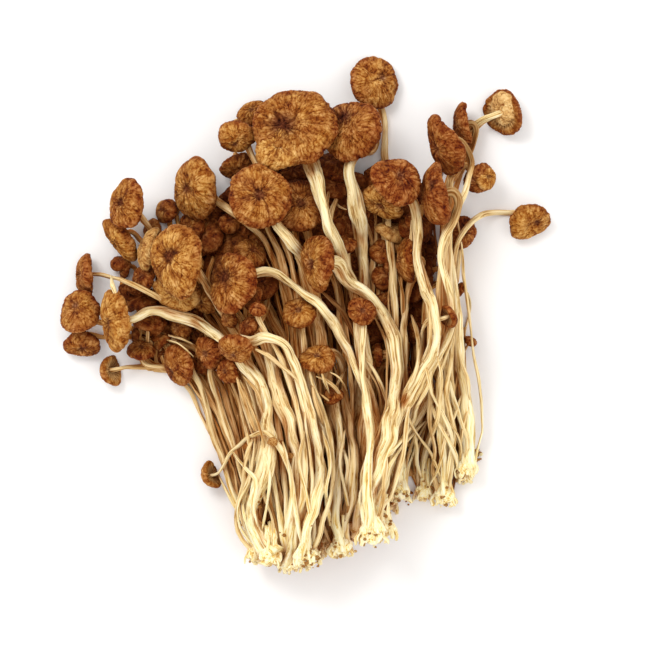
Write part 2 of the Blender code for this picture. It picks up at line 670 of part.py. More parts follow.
def skin(work, rings, closed_ends):
    """Join rings of points with faces. A pointed end is a ring that is one point."""
    made = []
    for number, ring in enumerate(rings):
        point = closed_ends and number in (0, len(rings) - 1)
        made.append([work.verts.new(ring[0])] if point else [work.verts.new(p) for p in ring])
    for ring, following in zip(made, made[1:]):
        count = max(len(ring), len(following))
        for i in range(count):
            j = (i + 1) % count
            if len(ring) == 1:
                work.faces.new((ring[0], following[i], following[j]))
            elif len(following) == 1:
                work.faces.new((ring[i], following[0], ring[j]))
            else:
                work.faces.new((ring[i], following[i], following[j], ring[j]))
    if not closed_ends:
        work.faces.new(made[0])
        work.faces.new(made[-1])


def cap_solid(mushroom, centre, finish):
    """A cap as a closed solid."""
    if not mushroom.own:
        section, sides = BUTTON_SECTION, BUTTON_SIDES
    elif mushroom.diameter > WIDE_CAP:
        section, sides = CAP_SECTION, WIDE_SIDES
    else:
        section, sides = SMALL_CAP_SECTION, SIDES
    rings = cap_points(mushroom, section, sides) + centre
    work = bmesh.new()
    skin(work, rings, True)
    return new_object(mushroom.name, work, finish)


def stem_solid(mushroom, stem, radii, finish):
    """A stem as a closed tube whose ends are flat."""
    sides = 4 if mushroom.widths[1] < THIN_STEM else 5
    if mushroom.widths[1] < HAIR_STEM and not mushroom.own:
        sides = 3
    spots = [Vector(spot) for spot in stem]
    side_way = Vector((1, 0, 0))
    rings = []
    for number, spot in enumerate(spots):
        before = spots[max(number - 1, 0)]
        after = spots[min(number + 1, len(spots) - 1)]
        if 0 < number < len(spots) - 1:
            way = ((spot - before).normalized() + (after - spot).normalized()).normalized()
        else:
            way = (after - before).normalized()
        side_way = (side_way - way * side_way.dot(way)).normalized()
        other_way = way.cross(side_way)
        ring = []
        for side in range(sides):
            angle = 2 * math.pi * (side + 0.5) / sides
            ring.append(
                spot + radii[number] * (math.cos(angle) * side_way + math.sin(angle) * other_way)
            )
        rings.append(ring)
    work = bmesh.new()
    skin(work, rings, False)
    return new_object("stem_of_" + mushroom.name, work, finish)


def foot_solid(bundle, rings, finish):
    """A lump of root mass, flat underneath."""
    work = bmesh.new()
    skin(work, rings, True)
    return new_object(bundle.name, work, finish)


def join_to(whole, pieces):
    """Grow pieces into one solid."""
    for piece in pieces:
        union = whole.modifiers.new("grown_together_" + piece.name, "BOOLEAN")
        union.operation = "UNION"
        union.solver = "EXACT"
        union.object = piece
        piece.hide_render = True
        piece.display_type = "WIRE"


def build():
    for old in list(bpy.data.objects):
        bpy.data.objects.remove(old, do_unlink=True)
    brown = material("cap_brown", CAP_BROWN, 0.7)
    cream = material("stem_cream", STEM_CREAM, 0.75)
    top = np.zeros((CELLS, CELLS))
    for bundle in CLUSTER:
        lump, laid = lay_bundle(bundle, top)
        whole = foot_solid(bundle, lump, cream)
        pieces = []
        for mushroom, (centre, stem, radii) in zip(bundle.mushrooms, laid):
            if not mushroom.own:
                cap = cap_solid(mushroom, centre, cream)
                axis = Vector(axes(mushroom)[2])
                inside = Vector(stem[0]) + axis * INSET * thickness(mushroom.diameter)
                stem = [tuple(inside)] + stem[1:]
                pieces.append(stem_solid(mushroom, stem, radii, cream))
                pieces.append(cap)
            else:
                cap_solid(mushroom, centre, brown)
                pieces.append(stem_solid(mushroom, stem, radii, cream))
        join_to(whole, pieces)


build()
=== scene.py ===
# A dried cluster of tea tree mushrooms, lying on its side. Wrinkled brown caps sit on
# long grooved stems, and the stems run together into lumps of root mass at the foot.
import itertools
import math

import bpy
import mathutils
import numpy as np
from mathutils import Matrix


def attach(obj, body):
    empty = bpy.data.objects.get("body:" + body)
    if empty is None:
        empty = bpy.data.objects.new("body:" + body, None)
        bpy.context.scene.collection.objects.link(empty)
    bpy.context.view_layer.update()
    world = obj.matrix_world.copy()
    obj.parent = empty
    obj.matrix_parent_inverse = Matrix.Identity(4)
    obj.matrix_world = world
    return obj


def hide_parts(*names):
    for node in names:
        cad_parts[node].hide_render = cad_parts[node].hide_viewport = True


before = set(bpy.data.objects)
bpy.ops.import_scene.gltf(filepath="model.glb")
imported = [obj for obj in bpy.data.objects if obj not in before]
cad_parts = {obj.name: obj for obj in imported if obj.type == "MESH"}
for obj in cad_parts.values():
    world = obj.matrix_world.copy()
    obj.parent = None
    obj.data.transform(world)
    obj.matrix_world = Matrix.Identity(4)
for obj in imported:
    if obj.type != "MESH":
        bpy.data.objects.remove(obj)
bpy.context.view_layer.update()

# The pile
# The cluster is one dried flush: bundles of mushrooms that each grow from a lump of root
# mass. It dried lying down, with the bundles resting one on another, so they are laid
# down here in turn, on a grid that keeps the height that the pile has reached.
PIXEL = 0.00036  # one pixel of the photograph on the cluster, in metres
MM = 0.001
MIDDLE = (305.6, 312.5)  # pixel at the middle of the cluster's box


class Mushroom:
    """One cap on its stem, as it is seen from above."""

    def __init__(self, name, place, diameter, heading, tilt, widths, route, own=True):
        self.name = name
        self.place = place  # pixel at the middle of the cap
        self.diameter = diameter * MM
        self.heading = math.radians(heading)  # where the crown points, 90 is up
        self.tilt = math.radians(tilt)  # 90 faces the viewer, below 0 shows gills
        self.widths = [width * MM for width in widths]  # under the cap, at the foot
        self.route = route  # pixels along the stem, from the cap to the foot
        self.own = own  # False: the small cap is one solid with its stem


class Bundle:
    """Stems that grow from one lump of root mass."""

    def __init__(self, name, foot, size, mushrooms):
        self.name = name
        self.foot = foot  # pixel at the middle of the lump
        self.size = [length * MM for length in size]  # half sizes of the lump
        self.mushrooms = mushrooms


# The bundles, from the lowest to the topmost one
CLUSTER = [
    Bundle("stems_bed_right", (385, 503), (4.4, 4.2, 3.0), [
        Mushroom("cap_top", (375, 80), 19.4, 30, 70, (2.6, 3.0), [
            (383, 108), (385, 135), (388, 205), (380, 305), (377, 355), (378, 405), (382, 455)]),
        Mushroom("cap_bed_8", (389, 300), 10.0, 90, 50, (2.4, 2.6), [
            (391, 318), (392, 352), (390, 400), (387, 450)], own=False),
        Mushroom("cap_bed_9", (428, 270), 12.0, 180, 10, (2.4, 2.8), [
            (431, 288), (424, 330), (401, 430), (392, 475)], own=False),
        Mushroom("cap_behind_crown", (382, 203), 16.2, -120, 45, (2.8, 3.2), [
            (389, 222), (395, 300), (397, 345), (395, 400), (390, 455)]),
    ]),
    Bundle("stems_bed_left", (268, 541), (4.2, 4.6, 3.0), [
        Mushroom("cap_low_left", (80, 346), 14.4, -95, 40, (2.2, 2.6), [
            (100, 337), (130, 338), (165, 347), (196, 372), (217, 415), (235, 460), (252, 505)]),
        Mushroom("cap_gills_left", (108, 371), 11.9, 190, -35, (2.0, 2.2), [
            (125, 368), (145, 367), (165, 369), (188, 380), (207, 412), (244, 506)]),
        Mushroom("cap_bed_1", (139, 350), 10.4, 90, 45, (2.0, 2.2), [
            (142, 364), (163, 367), (188, 373), (209, 402), (227, 442), (246, 495)], own=False),
    ]),
    Bundle("stems_bed_middle", (297, 545), (4.0, 4.4, 3.0), [
        Mushroom("cap_bed_2", (211, 216), 9.4, 180, 60, (2.0, 2.2), [
            (222, 238), (242, 285), (263, 335), (281, 400), (293, 470)], own=False),
        Mushroom("cap_bed_3", (229, 222), 8.4, 60, 60, (2.0, 2.2), [
            (237, 245), (255, 292), (275, 345), (290, 410), (299, 480)], own=False),
        Mushroom("cap_bed_4", (210, 247), 8.6, 200, 50, (2.0, 2.2), [
            (224, 264), (243, 305), (263, 350), (281, 410), (292, 480)], own=False),
    ]),
    Bundle("stems_left", (265, 556), (4.0, 3.6, 2.6), [
        Mushroom("cap_bed_10", (122, 266), 8.0, 180, 20, (1.6, 1.8), [
            (135, 272), (162, 290), (195, 318), (225, 358), (246, 420), (257, 490)], own=False),
        Mushroom("cap_dark_left", (132, 294), 12.2, -100, 45, (2.0, 2.2), [
            (147, 302), (180, 318), (211, 345), (233, 390), (248, 440), (258, 500)]),
        Mushroom("cap_bed_11", (143, 277), 10.8, 150, 50, (2.0, 2.2), [
            (157, 288), (186, 308), (216, 340), (238, 385), (252, 440), (262, 500)], own=False),
        Mushroom("cap_edge_left", (82, 274), 16.6, 180, 20, (1.8, 2.0), [
            (110, 277), (128, 282), (150, 293), (172, 307), (201, 330), (226, 370), (243, 420),
            (255, 480)]),
    ]),
    Bundle("stems_bed_centre", (320, 538), (4.2, 4.4, 3.0), [
        Mushroom("cap_bed_5", (283, 250), 10.8, 200, 70, (2.2, 2.6), [
            (291, 268), (298, 310), (304, 362), (315, 480)], own=False),
        Mushroom("cap_bed_6", (333, 297), 10.0, 20, 60, (2.4, 2.8), [
            (327, 352), (325, 400), (322, 450), (320, 500)], own=False),
        Mushroom("cap_bed_7", (281, 300), 7.0, 170, 60, (1.8, 2.2), [
            (287, 310), (296, 342), (311, 440), (317, 490)], own=False),
    ]),
    Bundle("stems_upper_left", (280, 553), (4.4, 4.2, 2.8), [
        Mushroom("cap_bed_13", (165, 210), 9.0, 180, 50, (2.0, 2.2), [
            (177, 224), (196, 256), (228, 300), (260, 345), (277, 410), (282, 490)], own=False),
        Mushroom("cap_far_left_1", (118, 239), 18.0, 217, 20, (2.2, 2.6), [
            (138, 239), (183, 290), (213, 325), (241, 375), (258, 430), (268, 490)]),
        Mushroom("cap_far_left_2", (125, 203), 19.2, 175, 42, (2.2, 2.6), [
            (138, 212), (158, 240), (188, 270), (226, 308), (252, 357), (268, 420), (275, 490)]),
        Mushroom("cap_tan_edge", (147, 248), 15.8, 165, 15, (2.2, 2.6), [
            (158, 255), (186, 282), (214, 314), (237, 354), (255, 405), (269, 470)]),
        Mushroom("cap_bed_12", (203, 300), 11.8, 200, 50, (2.2, 2.6), [
            (237, 345), (263, 388), (278, 440), (282, 500)], own=False),
        Mushroom("cap_big_left", (177, 262), 26.0, 180, 50, (3.6, 4.2), [
            (199, 274), (219, 303), (241, 342), (259, 390), (271, 440), (278, 500)]),
    ]),
    Bundle("stems_lower_left", (256, 553), (3.6, 3.4, 2.6), [
        Mushroom("cap_outer_left", (78, 312), 16.6, 135, 62, (2.2, 2.6), [
            (96, 322), (125, 328), (160, 336), (194, 350), (217, 383), (233, 430), (244, 480),
            (253, 525)]),
        Mushroom("cap_left_low", (177, 366), 15.4, 200, 48, (2.6, 2.9), [
            (193, 374), (205, 404), (211, 433), (221, 459), (232, 492), (246, 522)]),
        Mushroom("cap_left_red", (207, 353), 12.6, 200, 55, (2.4, 2.6), [
            (210, 373), (218, 404), (229, 437), (241, 470), (250, 515)]),
    ]),
    Bundle("stems_crown_left", (309, 549), (4.4, 4.2, 2.8), [
        Mushroom("cap_upper_left", (194, 188), 22.7, 190, 48, (2.4, 2.8), [
            (215, 199), (235, 213), (250, 225), (264, 240), (279, 275), (290, 320), (297, 380),
            (304, 450)]),
        Mushroom("cap_knob_3", (237, 167), 12.8, -80, 50, (2.4, 2.8), [
            (247, 182), (263, 215), (281, 260), (293, 310), (300, 370), (307, 440)]),
        Mushroom("cap_knob_1", (252, 110), 11.8, 120, 55, (2.4, 2.6), [
            (262, 126), (277, 165), (291, 215), (303, 280), (309, 350), (311, 430)]),
        Mushroom("cap_knob_2", (237, 137), 13.8, -90, 60, (2.4, 2.8), [
            (249, 150), (267, 190), (285, 240), (298, 300), (305, 360), (310, 430)]),
    ]),
    Bundle("stems_right_outer", (462, 474), (3.4, 3.4, 2.6), [
        Mushroom("cap_right_dark", (463, 232), 13.2, 0, 60, (2.6, 3.0), [
            (459, 250), (456, 290), (455, 340), (458, 390), (462, 435)]),
        Mushroom("cap_small_1", (460, 289), 5.8, 150, 30, (0.9, 1.2), [
            (468, 292), (472, 305), (469, 323), (463, 344), (461, 366), (464, 400),
            (466, 440)], own=False),
        Mushroom("cap_small_2", (472, 341), 5.4, 60, 30, (0.9, 1.2), [
            (463, 361), (468, 383), (473, 405), (474, 431)], own=False),
        Mushroom("cap_far_right", (532, 222), 16.4, -75, 48, (2.0, 2.4), [
            (510, 211), (495, 211), (480, 216), (467, 227), (458, 243), (454, 266), (452, 292),
            (454, 335), (460, 385), (464, 430)]),
    ]),
    Bundle("stems_right_web", (426, 493), (4.0, 3.4, 2.4), [
        Mushroom("cap_bed_14", (413, 332), 8.6, 180, 40, (2.2, 2.4), [
            (417, 348), (422, 380), (428, 411), (433, 430), (428, 458)], own=False),
        Mushroom("cap_bed_15", (442, 322), 8.6, 90, 50, (2.2, 2.4), [
            (441, 340), (433, 366), (442, 388), (439, 410), (431, 440), (424, 468)], own=False),
        Mushroom("cap_bed_16", (402, 372), 7.2, 140, 50, (2.0, 2.2), [
            (404, 388), (403, 415), (407, 440), (416, 462)], own=False),
    ]),
    Bundle("stems_crown", (334, 546), (4.4, 4.2, 2.8), [
        Mushroom("cap_crown_back", (300, 205), 20.9, 60, 70, (3.0, 3.4), [
            (307, 232), (313, 270), (319, 320), (325, 380), (330, 440), (333, 500)]),
        Mushroom("cap_crown_front", (260, 197), 23.4, 90, 82, (4.2, 4.6), [
            (275, 222), (289, 240), (302, 258), (314, 300), (323, 350), (329, 410), (335, 480)]),
    ]),
    Bundle("stem_right_tall", (467, 468), (3.4, 3.4, 2.8), [
        Mushroom("cap_gills_right", (507, 110), 17.8, 15, -48, (3.0, 4.2), [
            (497, 110), (487, 115), (474, 127), (465, 142), (460, 158), (452, 172), (447, 190),
            (445, 215), (448, 246), (453, 282), (457, 322), (460, 362), (466, 400), (468, 436)]),
    ]),
    Bundle("stems_right_back", (446, 497), (4.0, 3.4, 2.6), [
        Mushroom("cap_spindle", (462, 123), 16.8, 185, 12, (2.0, 2.4), [
            (475, 140), (468, 160), (456, 188), (449, 225), (451, 330), (449, 390), (447, 445)]),
        Mushroom("cap_split", (480, 178), 12.6, -45, 50, (2.4, 2.6), [
            (466, 165), (456, 173), (449, 192), (446, 232), (445, 285), (445, 340), (446, 400),
            (446, 450)]),
        Mushroom("cap_finger", (443, 146), 23.0, 202, 24, (2.6, 3.0), [
            (471, 161), (465, 191), (450, 224), (441, 265), (439, 320), (439, 380), (442, 440)]),
    ]),
    Bundle("stems_middle_left", (290, 561), (4.4, 3.8, 2.8), [
        Mushroom("cap_twin_back", (251, 253), 13.4, 60, 45, (2.8, 3.4), [
            (258, 277), (263, 296), (272, 318), (283, 341), (292, 370), (299, 410), (304, 452),
            (303, 505)]),
        Mushroom("cap_small_6", (227, 371), 9.4, 180, 60, (2.0, 2.4), [
            (238, 380), (252, 410), (266, 450), (279, 505)], own=False),
        Mushroom("cap_small_5", (229, 319), 7.4, 200, 50, (2.2, 2.6), [
            (240, 327), (256, 350), (270, 390), (280, 440), (287, 500)], own=False),
        Mushroom("cap_small_7", (249, 326), 8.3, 150, 50, (4.0, 5.6), [
            (261, 338), (272, 368), (283, 405), (294, 440), (299, 475), (297, 515)], own=False),
        Mushroom("cap_small_8", (258, 309), 6.6, 90, 50, (2.0, 2.4), [
            (277, 350), (291, 388), (302, 432), (304, 485)], own=False),
    ]),
    Bundle("stems_right_inner", (399, 492), (3.8, 3.6, 2.6), [
        Mushroom("cap_right_tall", (433, 196), 23.0, 185, 18, (2.8, 3.2), [
            (439, 255), (446, 285), (451, 306), (448, 332), (438, 356), (429, 374), (428, 395),
            (418, 418), (407, 440), (401, 464)]),
        Mushroom("cap_small_3", (448, 316), 9.0, 20, -30, (1.6, 2.0), [
            (439, 316), (430, 319), (423, 329), (423, 346), (420, 372), (404, 445)], own=False),
    ]),
    Bundle("stems_tall", (359, 531), (5.2, 4.2, 3.2), [
        Mushroom("cap_small_9", (377, 356), 9.4, 180, 8, (2.8, 3.2), [
            (380, 370), (382, 400), (383, 435), (380, 480)], own=False),
        Mushroom("cap_crown_dark", (351, 129), 24.0, 150, 62, (4.8, 5.8), [
            (351, 160), (355, 200), (362, 243), (364, 286), (363, 335), (361, 380), (359, 412),
            (354, 445), (355, 476), (355, 506)]),
        Mushroom("cap_crown_big", (296, 126), 30.0, 105, 76, (4.6, 5.2), [
            (311, 160), (319, 192), (332, 235), (345, 265), (354, 290), (360, 330), (367, 370),
            (368, 406), (366, 446), (363, 490)]),
    ]),
    Bundle("stems_lower_middle", (342, 546), (4.4, 3.6, 2.6), [
        Mushroom("cap_orange", (299, 312), 12.8, 100, 60, (2.6, 3.0), [
            (302, 332), (313, 392), (322, 425), (331, 465), (337, 505)], own=False),
        Mushroom("cap_middle_low", (317, 358), 13.0, 90, 55, (2.6, 3.0), [
            (334, 353), (343, 368), (345, 402), (351, 432), (355, 462), (351, 500)]),
        Mushroom("cap_small_4", (333, 395), 7.9, 100, 50, (3.4, 4.2), [
            (330, 410), (338, 430), (341, 448), (338, 474), (334, 504)], own=False),
    ]),
    Bundle("stem_arched", (381, 527), (5.4, 3.8, 2.8), [
        Mushroom("cap_twin_front", (231, 283), 21.6, 170, 56, (2.8, 4.4), [
            (257, 272), (270, 272), (287, 281), (305, 294), (321, 307), (335, 325), (345, 346),
            (355, 366), (367, 389), (374, 415), (375, 443), (371, 476), (367, 503)]),
    ]),
    Bundle("stems_right_middle", (374, 517), (4.2, 3.8, 2.6), [
        Mushroom("cap_edge_middle", (406, 259), 17.6, 180, 14, (2.6, 3.0), [
            (410, 284), (406, 311), (403, 345), (404, 380), (397, 415), (387, 455), (379, 490)]),
        Mushroom("cap_crown_right", (396, 182), 18.6, 45, 65, (3.0, 4.6), [
            (413, 203), (417, 229), (419, 260), (425, 285), (433, 313), (436, 335), (431, 358),
            (418, 379), (405, 405), (393, 432), (382, 466), (374, 496)]),
    ]),
    Bundle("stems_bent", (371, 531), (5.0, 4.2, 3.0), [
        Mushroom("cap_middle", (317, 264), 21.4, 180, 32, (4.4, 5.2), [
            (333, 273), (350, 283), (371, 297), (385, 318), (395, 345), (395, 390), (388, 430),
            (376, 472), (368, 503)]),
        Mushroom("cap_red_disc", (362, 311), 10.4, 60, 82, (2.8, 3.4), [
            (362, 326), (361, 360), (366, 402), (370, 442), (367, 490)]),
    ]),
    Bundle("stem_sweeping", (271, 555), (4.6, 3.8, 2.8), [
        Mushroom("cap_left_gold", (114, 322), 23.0, 190, 24, (3.6, 6.2), [
            (129, 308), (157, 311), (186, 319), (214, 333), (234, 349), (249, 367), (261, 389),
            (267, 413), (269, 445), (262, 478), (255, 508), (258, 533)]),
    ]),
    Bundle("stems_front", (306, 555), (4.8, 3.8, 3.0), [
        Mushroom("cap_gills_low", (209, 477), 10.4, 200, -35, (1.6, 1.8), [
            (219, 470), (229, 455), (241, 443), (254, 434), (268, 432), (282, 448), (292, 478),
            (298, 520)]),
        Mushroom("cap_hook", (236, 349), 12.8, -100, 50, (3.2, 4.6), [
            (251, 341), (266, 337), (282, 343), (292, 357), (299, 380), (307, 403), (316, 442),
            (321, 470), (315, 498), (307, 527)]),
    ]),
]


def place(pixel):
    """Metres from the middle of the cluster, for a pixel of the photograph."""
    return ((pixel[0] - MIDDLE[0]) * PIXEL, (MIDDLE[1] - pixel[1]) * PIXEL)


# Heights are kept on a square grid over the floor
CELL = 0.6 * MM
CELLS = 360
PAD = 0.4 * MM  # a stem is laid as if it were this much thicker
GAP = 0.0003  # air between neighbours that are separate solids, in metres


def window(x, y, reach):
    """Grid cells within reach of a point, and their squared distances to it."""
    half = CELLS * CELL / 2
    left = max(0, int((x - reach + half) / CELL))
    right = min(CELLS, int((x + reach + half) / CELL) + 2)
    low = max(0, int((y - reach + half) / CELL))
    high = min(CELLS, int((y + reach + half) / CELL) + 2)
    xs = (np.arange(left, right) + 0.5) * CELL - half - x
    ys = (np.arange(low, high) + 0.5) * CELL - half - y
    return slice(low, high), slice(left, right), ys[:, None] ** 2 + xs[None, :] ** 2


def height_over(top, x, y, radius):
    """Lowest height for the middle of a round stem that lies over (x, y)."""
    rows, columns, square = window(x, y, radius + PAD)
    rise = np.sqrt(np.maximum((radius + PAD) ** 2 - square, 0))
    below = top[rows, columns]
    clear = np.where((rise > 0) & (below > 0), below + rise + GAP, 0)
    return max(radius, float(clear.max()))


def raise_ball(top, x, y, z, radius):
    """Add a short length of stem to the heights."""
    rows, columns, square = window(x, y, radius)
    inside = square < radius**2
    surface = z + np.sqrt(np.maximum(radius**2 - square, 0))
    view = top[rows, columns]
    view[inside] = np.maximum(view[inside], surface[inside])


def spread(points):
    """Grid cells of points, and the highest and lowest point in each of them."""
    half = CELLS * CELL / 2
    column = ((points[:, 0] + half) / CELL).astype(int)
    row = ((points[:, 1] + half) / CELL).astype(int)
    highest = np.full((CELLS, CELLS), -1.0)
    lowest = np.full((CELLS, CELLS), 1.0)
    np.maximum.at(highest, (row, column), points[:, 2])
    np.minimum.at(lowest, (row, column), points[:, 2])
    return highest, lowest


def widened(top):
    """The heights, each taken over its neighbouring cells too."""
    wide = top.copy()
    for step in (-1, 1):
        wide = np.maximum(wide, np.roll(top, step, 0))
    tall = wide.copy()
    for step in (-1, 1):
        tall = np.maximum(tall, np.roll(wide, step, 1))
    return tall


def lift_to_clear(top, points):
    """How far points must rise to lie clear of the heights and of the floor."""
    lowest = spread(points)[1]
    covered = lowest < 1.0
    below = widened(top)[covered]
    needed = np.where(below > 0, below + GAP, 0)
    return max(float((needed - lowest[covered]).max()), -points[:, 2].min())


# Half section of a cap: distance from the axis in diameters, and height in
# thicknesses, from the sunken middle of the crown round the rim to the gills
CAP_SECTION = (
    (0.00, 0.90),
    (0.15, 1.00),
    (0.34, 0.86),
    (0.47, 0.52),
    (0.49, 0.16),
    (0.39, 0.00),
    (0.00, 0.30),
)
CAP_CENTRE = 0.45  # height of a cap's middle, in thicknesses
EDGE_ON_OVAL = 0.62  # a cap seen from its edge has dried to an oval, this much shorter
THICKNESS = 0.27  # of a big cap, in diameters
ROUNDER = 0.16  # a small one is this much thicker
SMALL = 7 * MM  # caps of this size have all of it
LARGE = 15 * MM  # and caps of this size none
TWO_LOBES = 0.04  # how far a cap's outline is from round
THREE_LOBES = 0.03
RIM_WAVE = 0.05  # how far its rim rises and falls, in diameters
LOBE_TURNS = (7.3, 3.1)  # every cap's lobes lie another way round


def thickness(diameter):
    """A dry cap's thickness: big caps are flat, and small ones are rounder."""
    small = min(1.0, max(0.0, (LARGE - diameter) / (LARGE - SMALL)))
    return diameter * (THICKNESS + ROUNDER * small)


def axes(mushroom):
    """Two directions across a cap, and the one that its crown points in."""
    heading, tilt = mushroom.heading, mushroom.tilt
    crown = np.array((
        math.cos(tilt) * math.cos(heading),
        math.cos(tilt) * math.sin(heading),
        math.sin(tilt),
    ))
    across = np.array((-math.sin(heading), math.cos(heading), 0.0))
    return across, np.cross(crown, across), crown


def shrunk(mushroom):
    """How much shorter a cap is across its narrow way."""
    return EDGE_ON_OVAL + (1 - EDGE_ON_OVAL) * abs(math.sin(mushroom.tilt))


def cap_points(mushroom, section, sides):
    """Rings of points round a cap whose middle is at the origin."""
    across, along, crown = axes(mushroom)
    size = mushroom.diameter
    out, up = np.array(section).T[:, :, None]
    angle = 2 * math.pi * np.arange(sides) / sides
    turn = LOBE_TURNS[0] * mushroom.place[0] + LOBE_TURNS[1] * mushroom.place[1]
    lobes = TWO_LOBES * np.cos(2 * angle + turn) + THREE_LOBES * np.cos(3 * angle + 2 * turn)
    wave = RIM_WAVE * np.cos(2 * angle + 3 * turn) * size * (2 * out) ** 2
    reach = size * out * (1 + lobes)
    offset = thickness(size) * (up - CAP_CENTRE) + wave
    sideways = (reach * np.cos(angle))[..., None] * across
    lengthways = (reach * shrunk(mushroom) * np.sin(angle))[..., None] * along
    return sideways + lengthways + offset[..., None] * crown


FINE_STEPS = 12  # close points all over a cap: between two points of its section
FINE_SIDES = 140  # and round it


def fine_cap(mushroom):
    """Close points all over a cap, for finding what it touches."""
    section = []
    for (out, up), (next_out, next_up) in zip(CAP_SECTION, CAP_SECTION[1:]):
        for step in np.linspace(0, 1, FINE_STEPS, endpoint=False):
            section.append((out + step * (next_out - out), up + step * (next_up - up)))
    return cap_points(mushroom, section, FINE_SIDES)


# The way of a stem, from its cap down to the foot
SAG = 0.32  # how far a dry stem may dip between two points, per length
STEP = 0.5 * MM  # a stem is let down in steps of this size
SWEEPS = 140
LEAST_SHARE = 0.1  # a point isn't lifted for a place this near to its neighbour


def lowest_route(spots, needs, start, end):
    """Heights of a stem's points that keep it clear, smooth and low."""
    count = len(spots)
    lengths = [math.dist(spots[i], spots[i + 1]) for i in range(count - 1)]
    highest = max(float(wanted.max()) for parts, wanted in needs)
    ceiling = max(highest, end, start or 0) + STEP
    heights = [ceiling] * count
    heights[-1] = end
    if start is not None:
        heights[0] = start

    def lowest(i, other, segment, forward):
        """Height that point i needs for one segment beside it."""
        parts, wanted = needs[segment]
        share = 1 - parts if forward else parts
        use = share > LEAST_SHARE
        height = ((wanted[use] - (1 - share[use]) * heights[other]) / share[use]).max()
        return min(float(height), ceiling)

    for _ in range(SWEEPS):
        for i in range(count - 2, -1, -1):
            if i == 0 and start is not None:
                continue
            height = max(lowest(i, i + 1, i, True), heights[i] - STEP)
            if i > 0:
                height = max(height, lowest(i, i - 1, i - 1, False))
                share = lengths[i - 1] / (lengths[i - 1] + lengths[i])
                between = heights[i - 1] + share * (heights[i + 1] - heights[i - 1])
                height = max(height, between - SAG * min(lengths[i - 1], lengths[i]))
            heights[i] = min(heights[i], max(height, 0.0))
    return heights


SHARPEST = -0.2  # a stem turns back no further than this, as a cosine


def turns_back(bend, route, least):
    """Whether a route's first point is too near the neck's bend, or behind it."""
    ahead = np.subtract(route[0], bend)
    onward = np.subtract(route[1], route[0])
    sharpest = SHARPEST * math.hypot(*ahead) * math.hypot(*onward)
    return math.hypot(*ahead) < least or ahead @ onward < sharpest


# A mushroom on the pile: its cap, the straight neck under the cap, and its stem
NECK_WIDTHS = 0.9  # length of the neck in stem widths
NECK_DIAMETERS = 0.10  # and in cap diameters, added
NECK_TRIES = 10  # a neck is made longer until it clears its own cap
NECK_SPANS = 3  # this many lengths of the stem are tested against the cap
NECK_PLACES = 10  # at this many places each
RIM_INSIDE = 0.39  # where the rim curls under, in diameters
GILL_HEIGHT = 0.30  # height of the gills' middle, in thicknesses
TIP_ROOM = 1.2  # room for a stem's end among the gills, in its radii
LOOSE = 0.2 * MM  # more air between a cap and its own stem
LEAST_TURN = 2.4  # a bend keeps this many stem radii from the next one
MERGE = 11 * MM  # stems of one bundle grow together this close to the foot
SPACING = 0.8 * MM  # places along a stem that are tested against the pile
CLOSE_SPACING = 0.4 * MM  # and those that are added to it
UNDER_FROM = 3  # a cap's underside is tested from this place of its section on
UNDER_EACH = 3  # at every third point


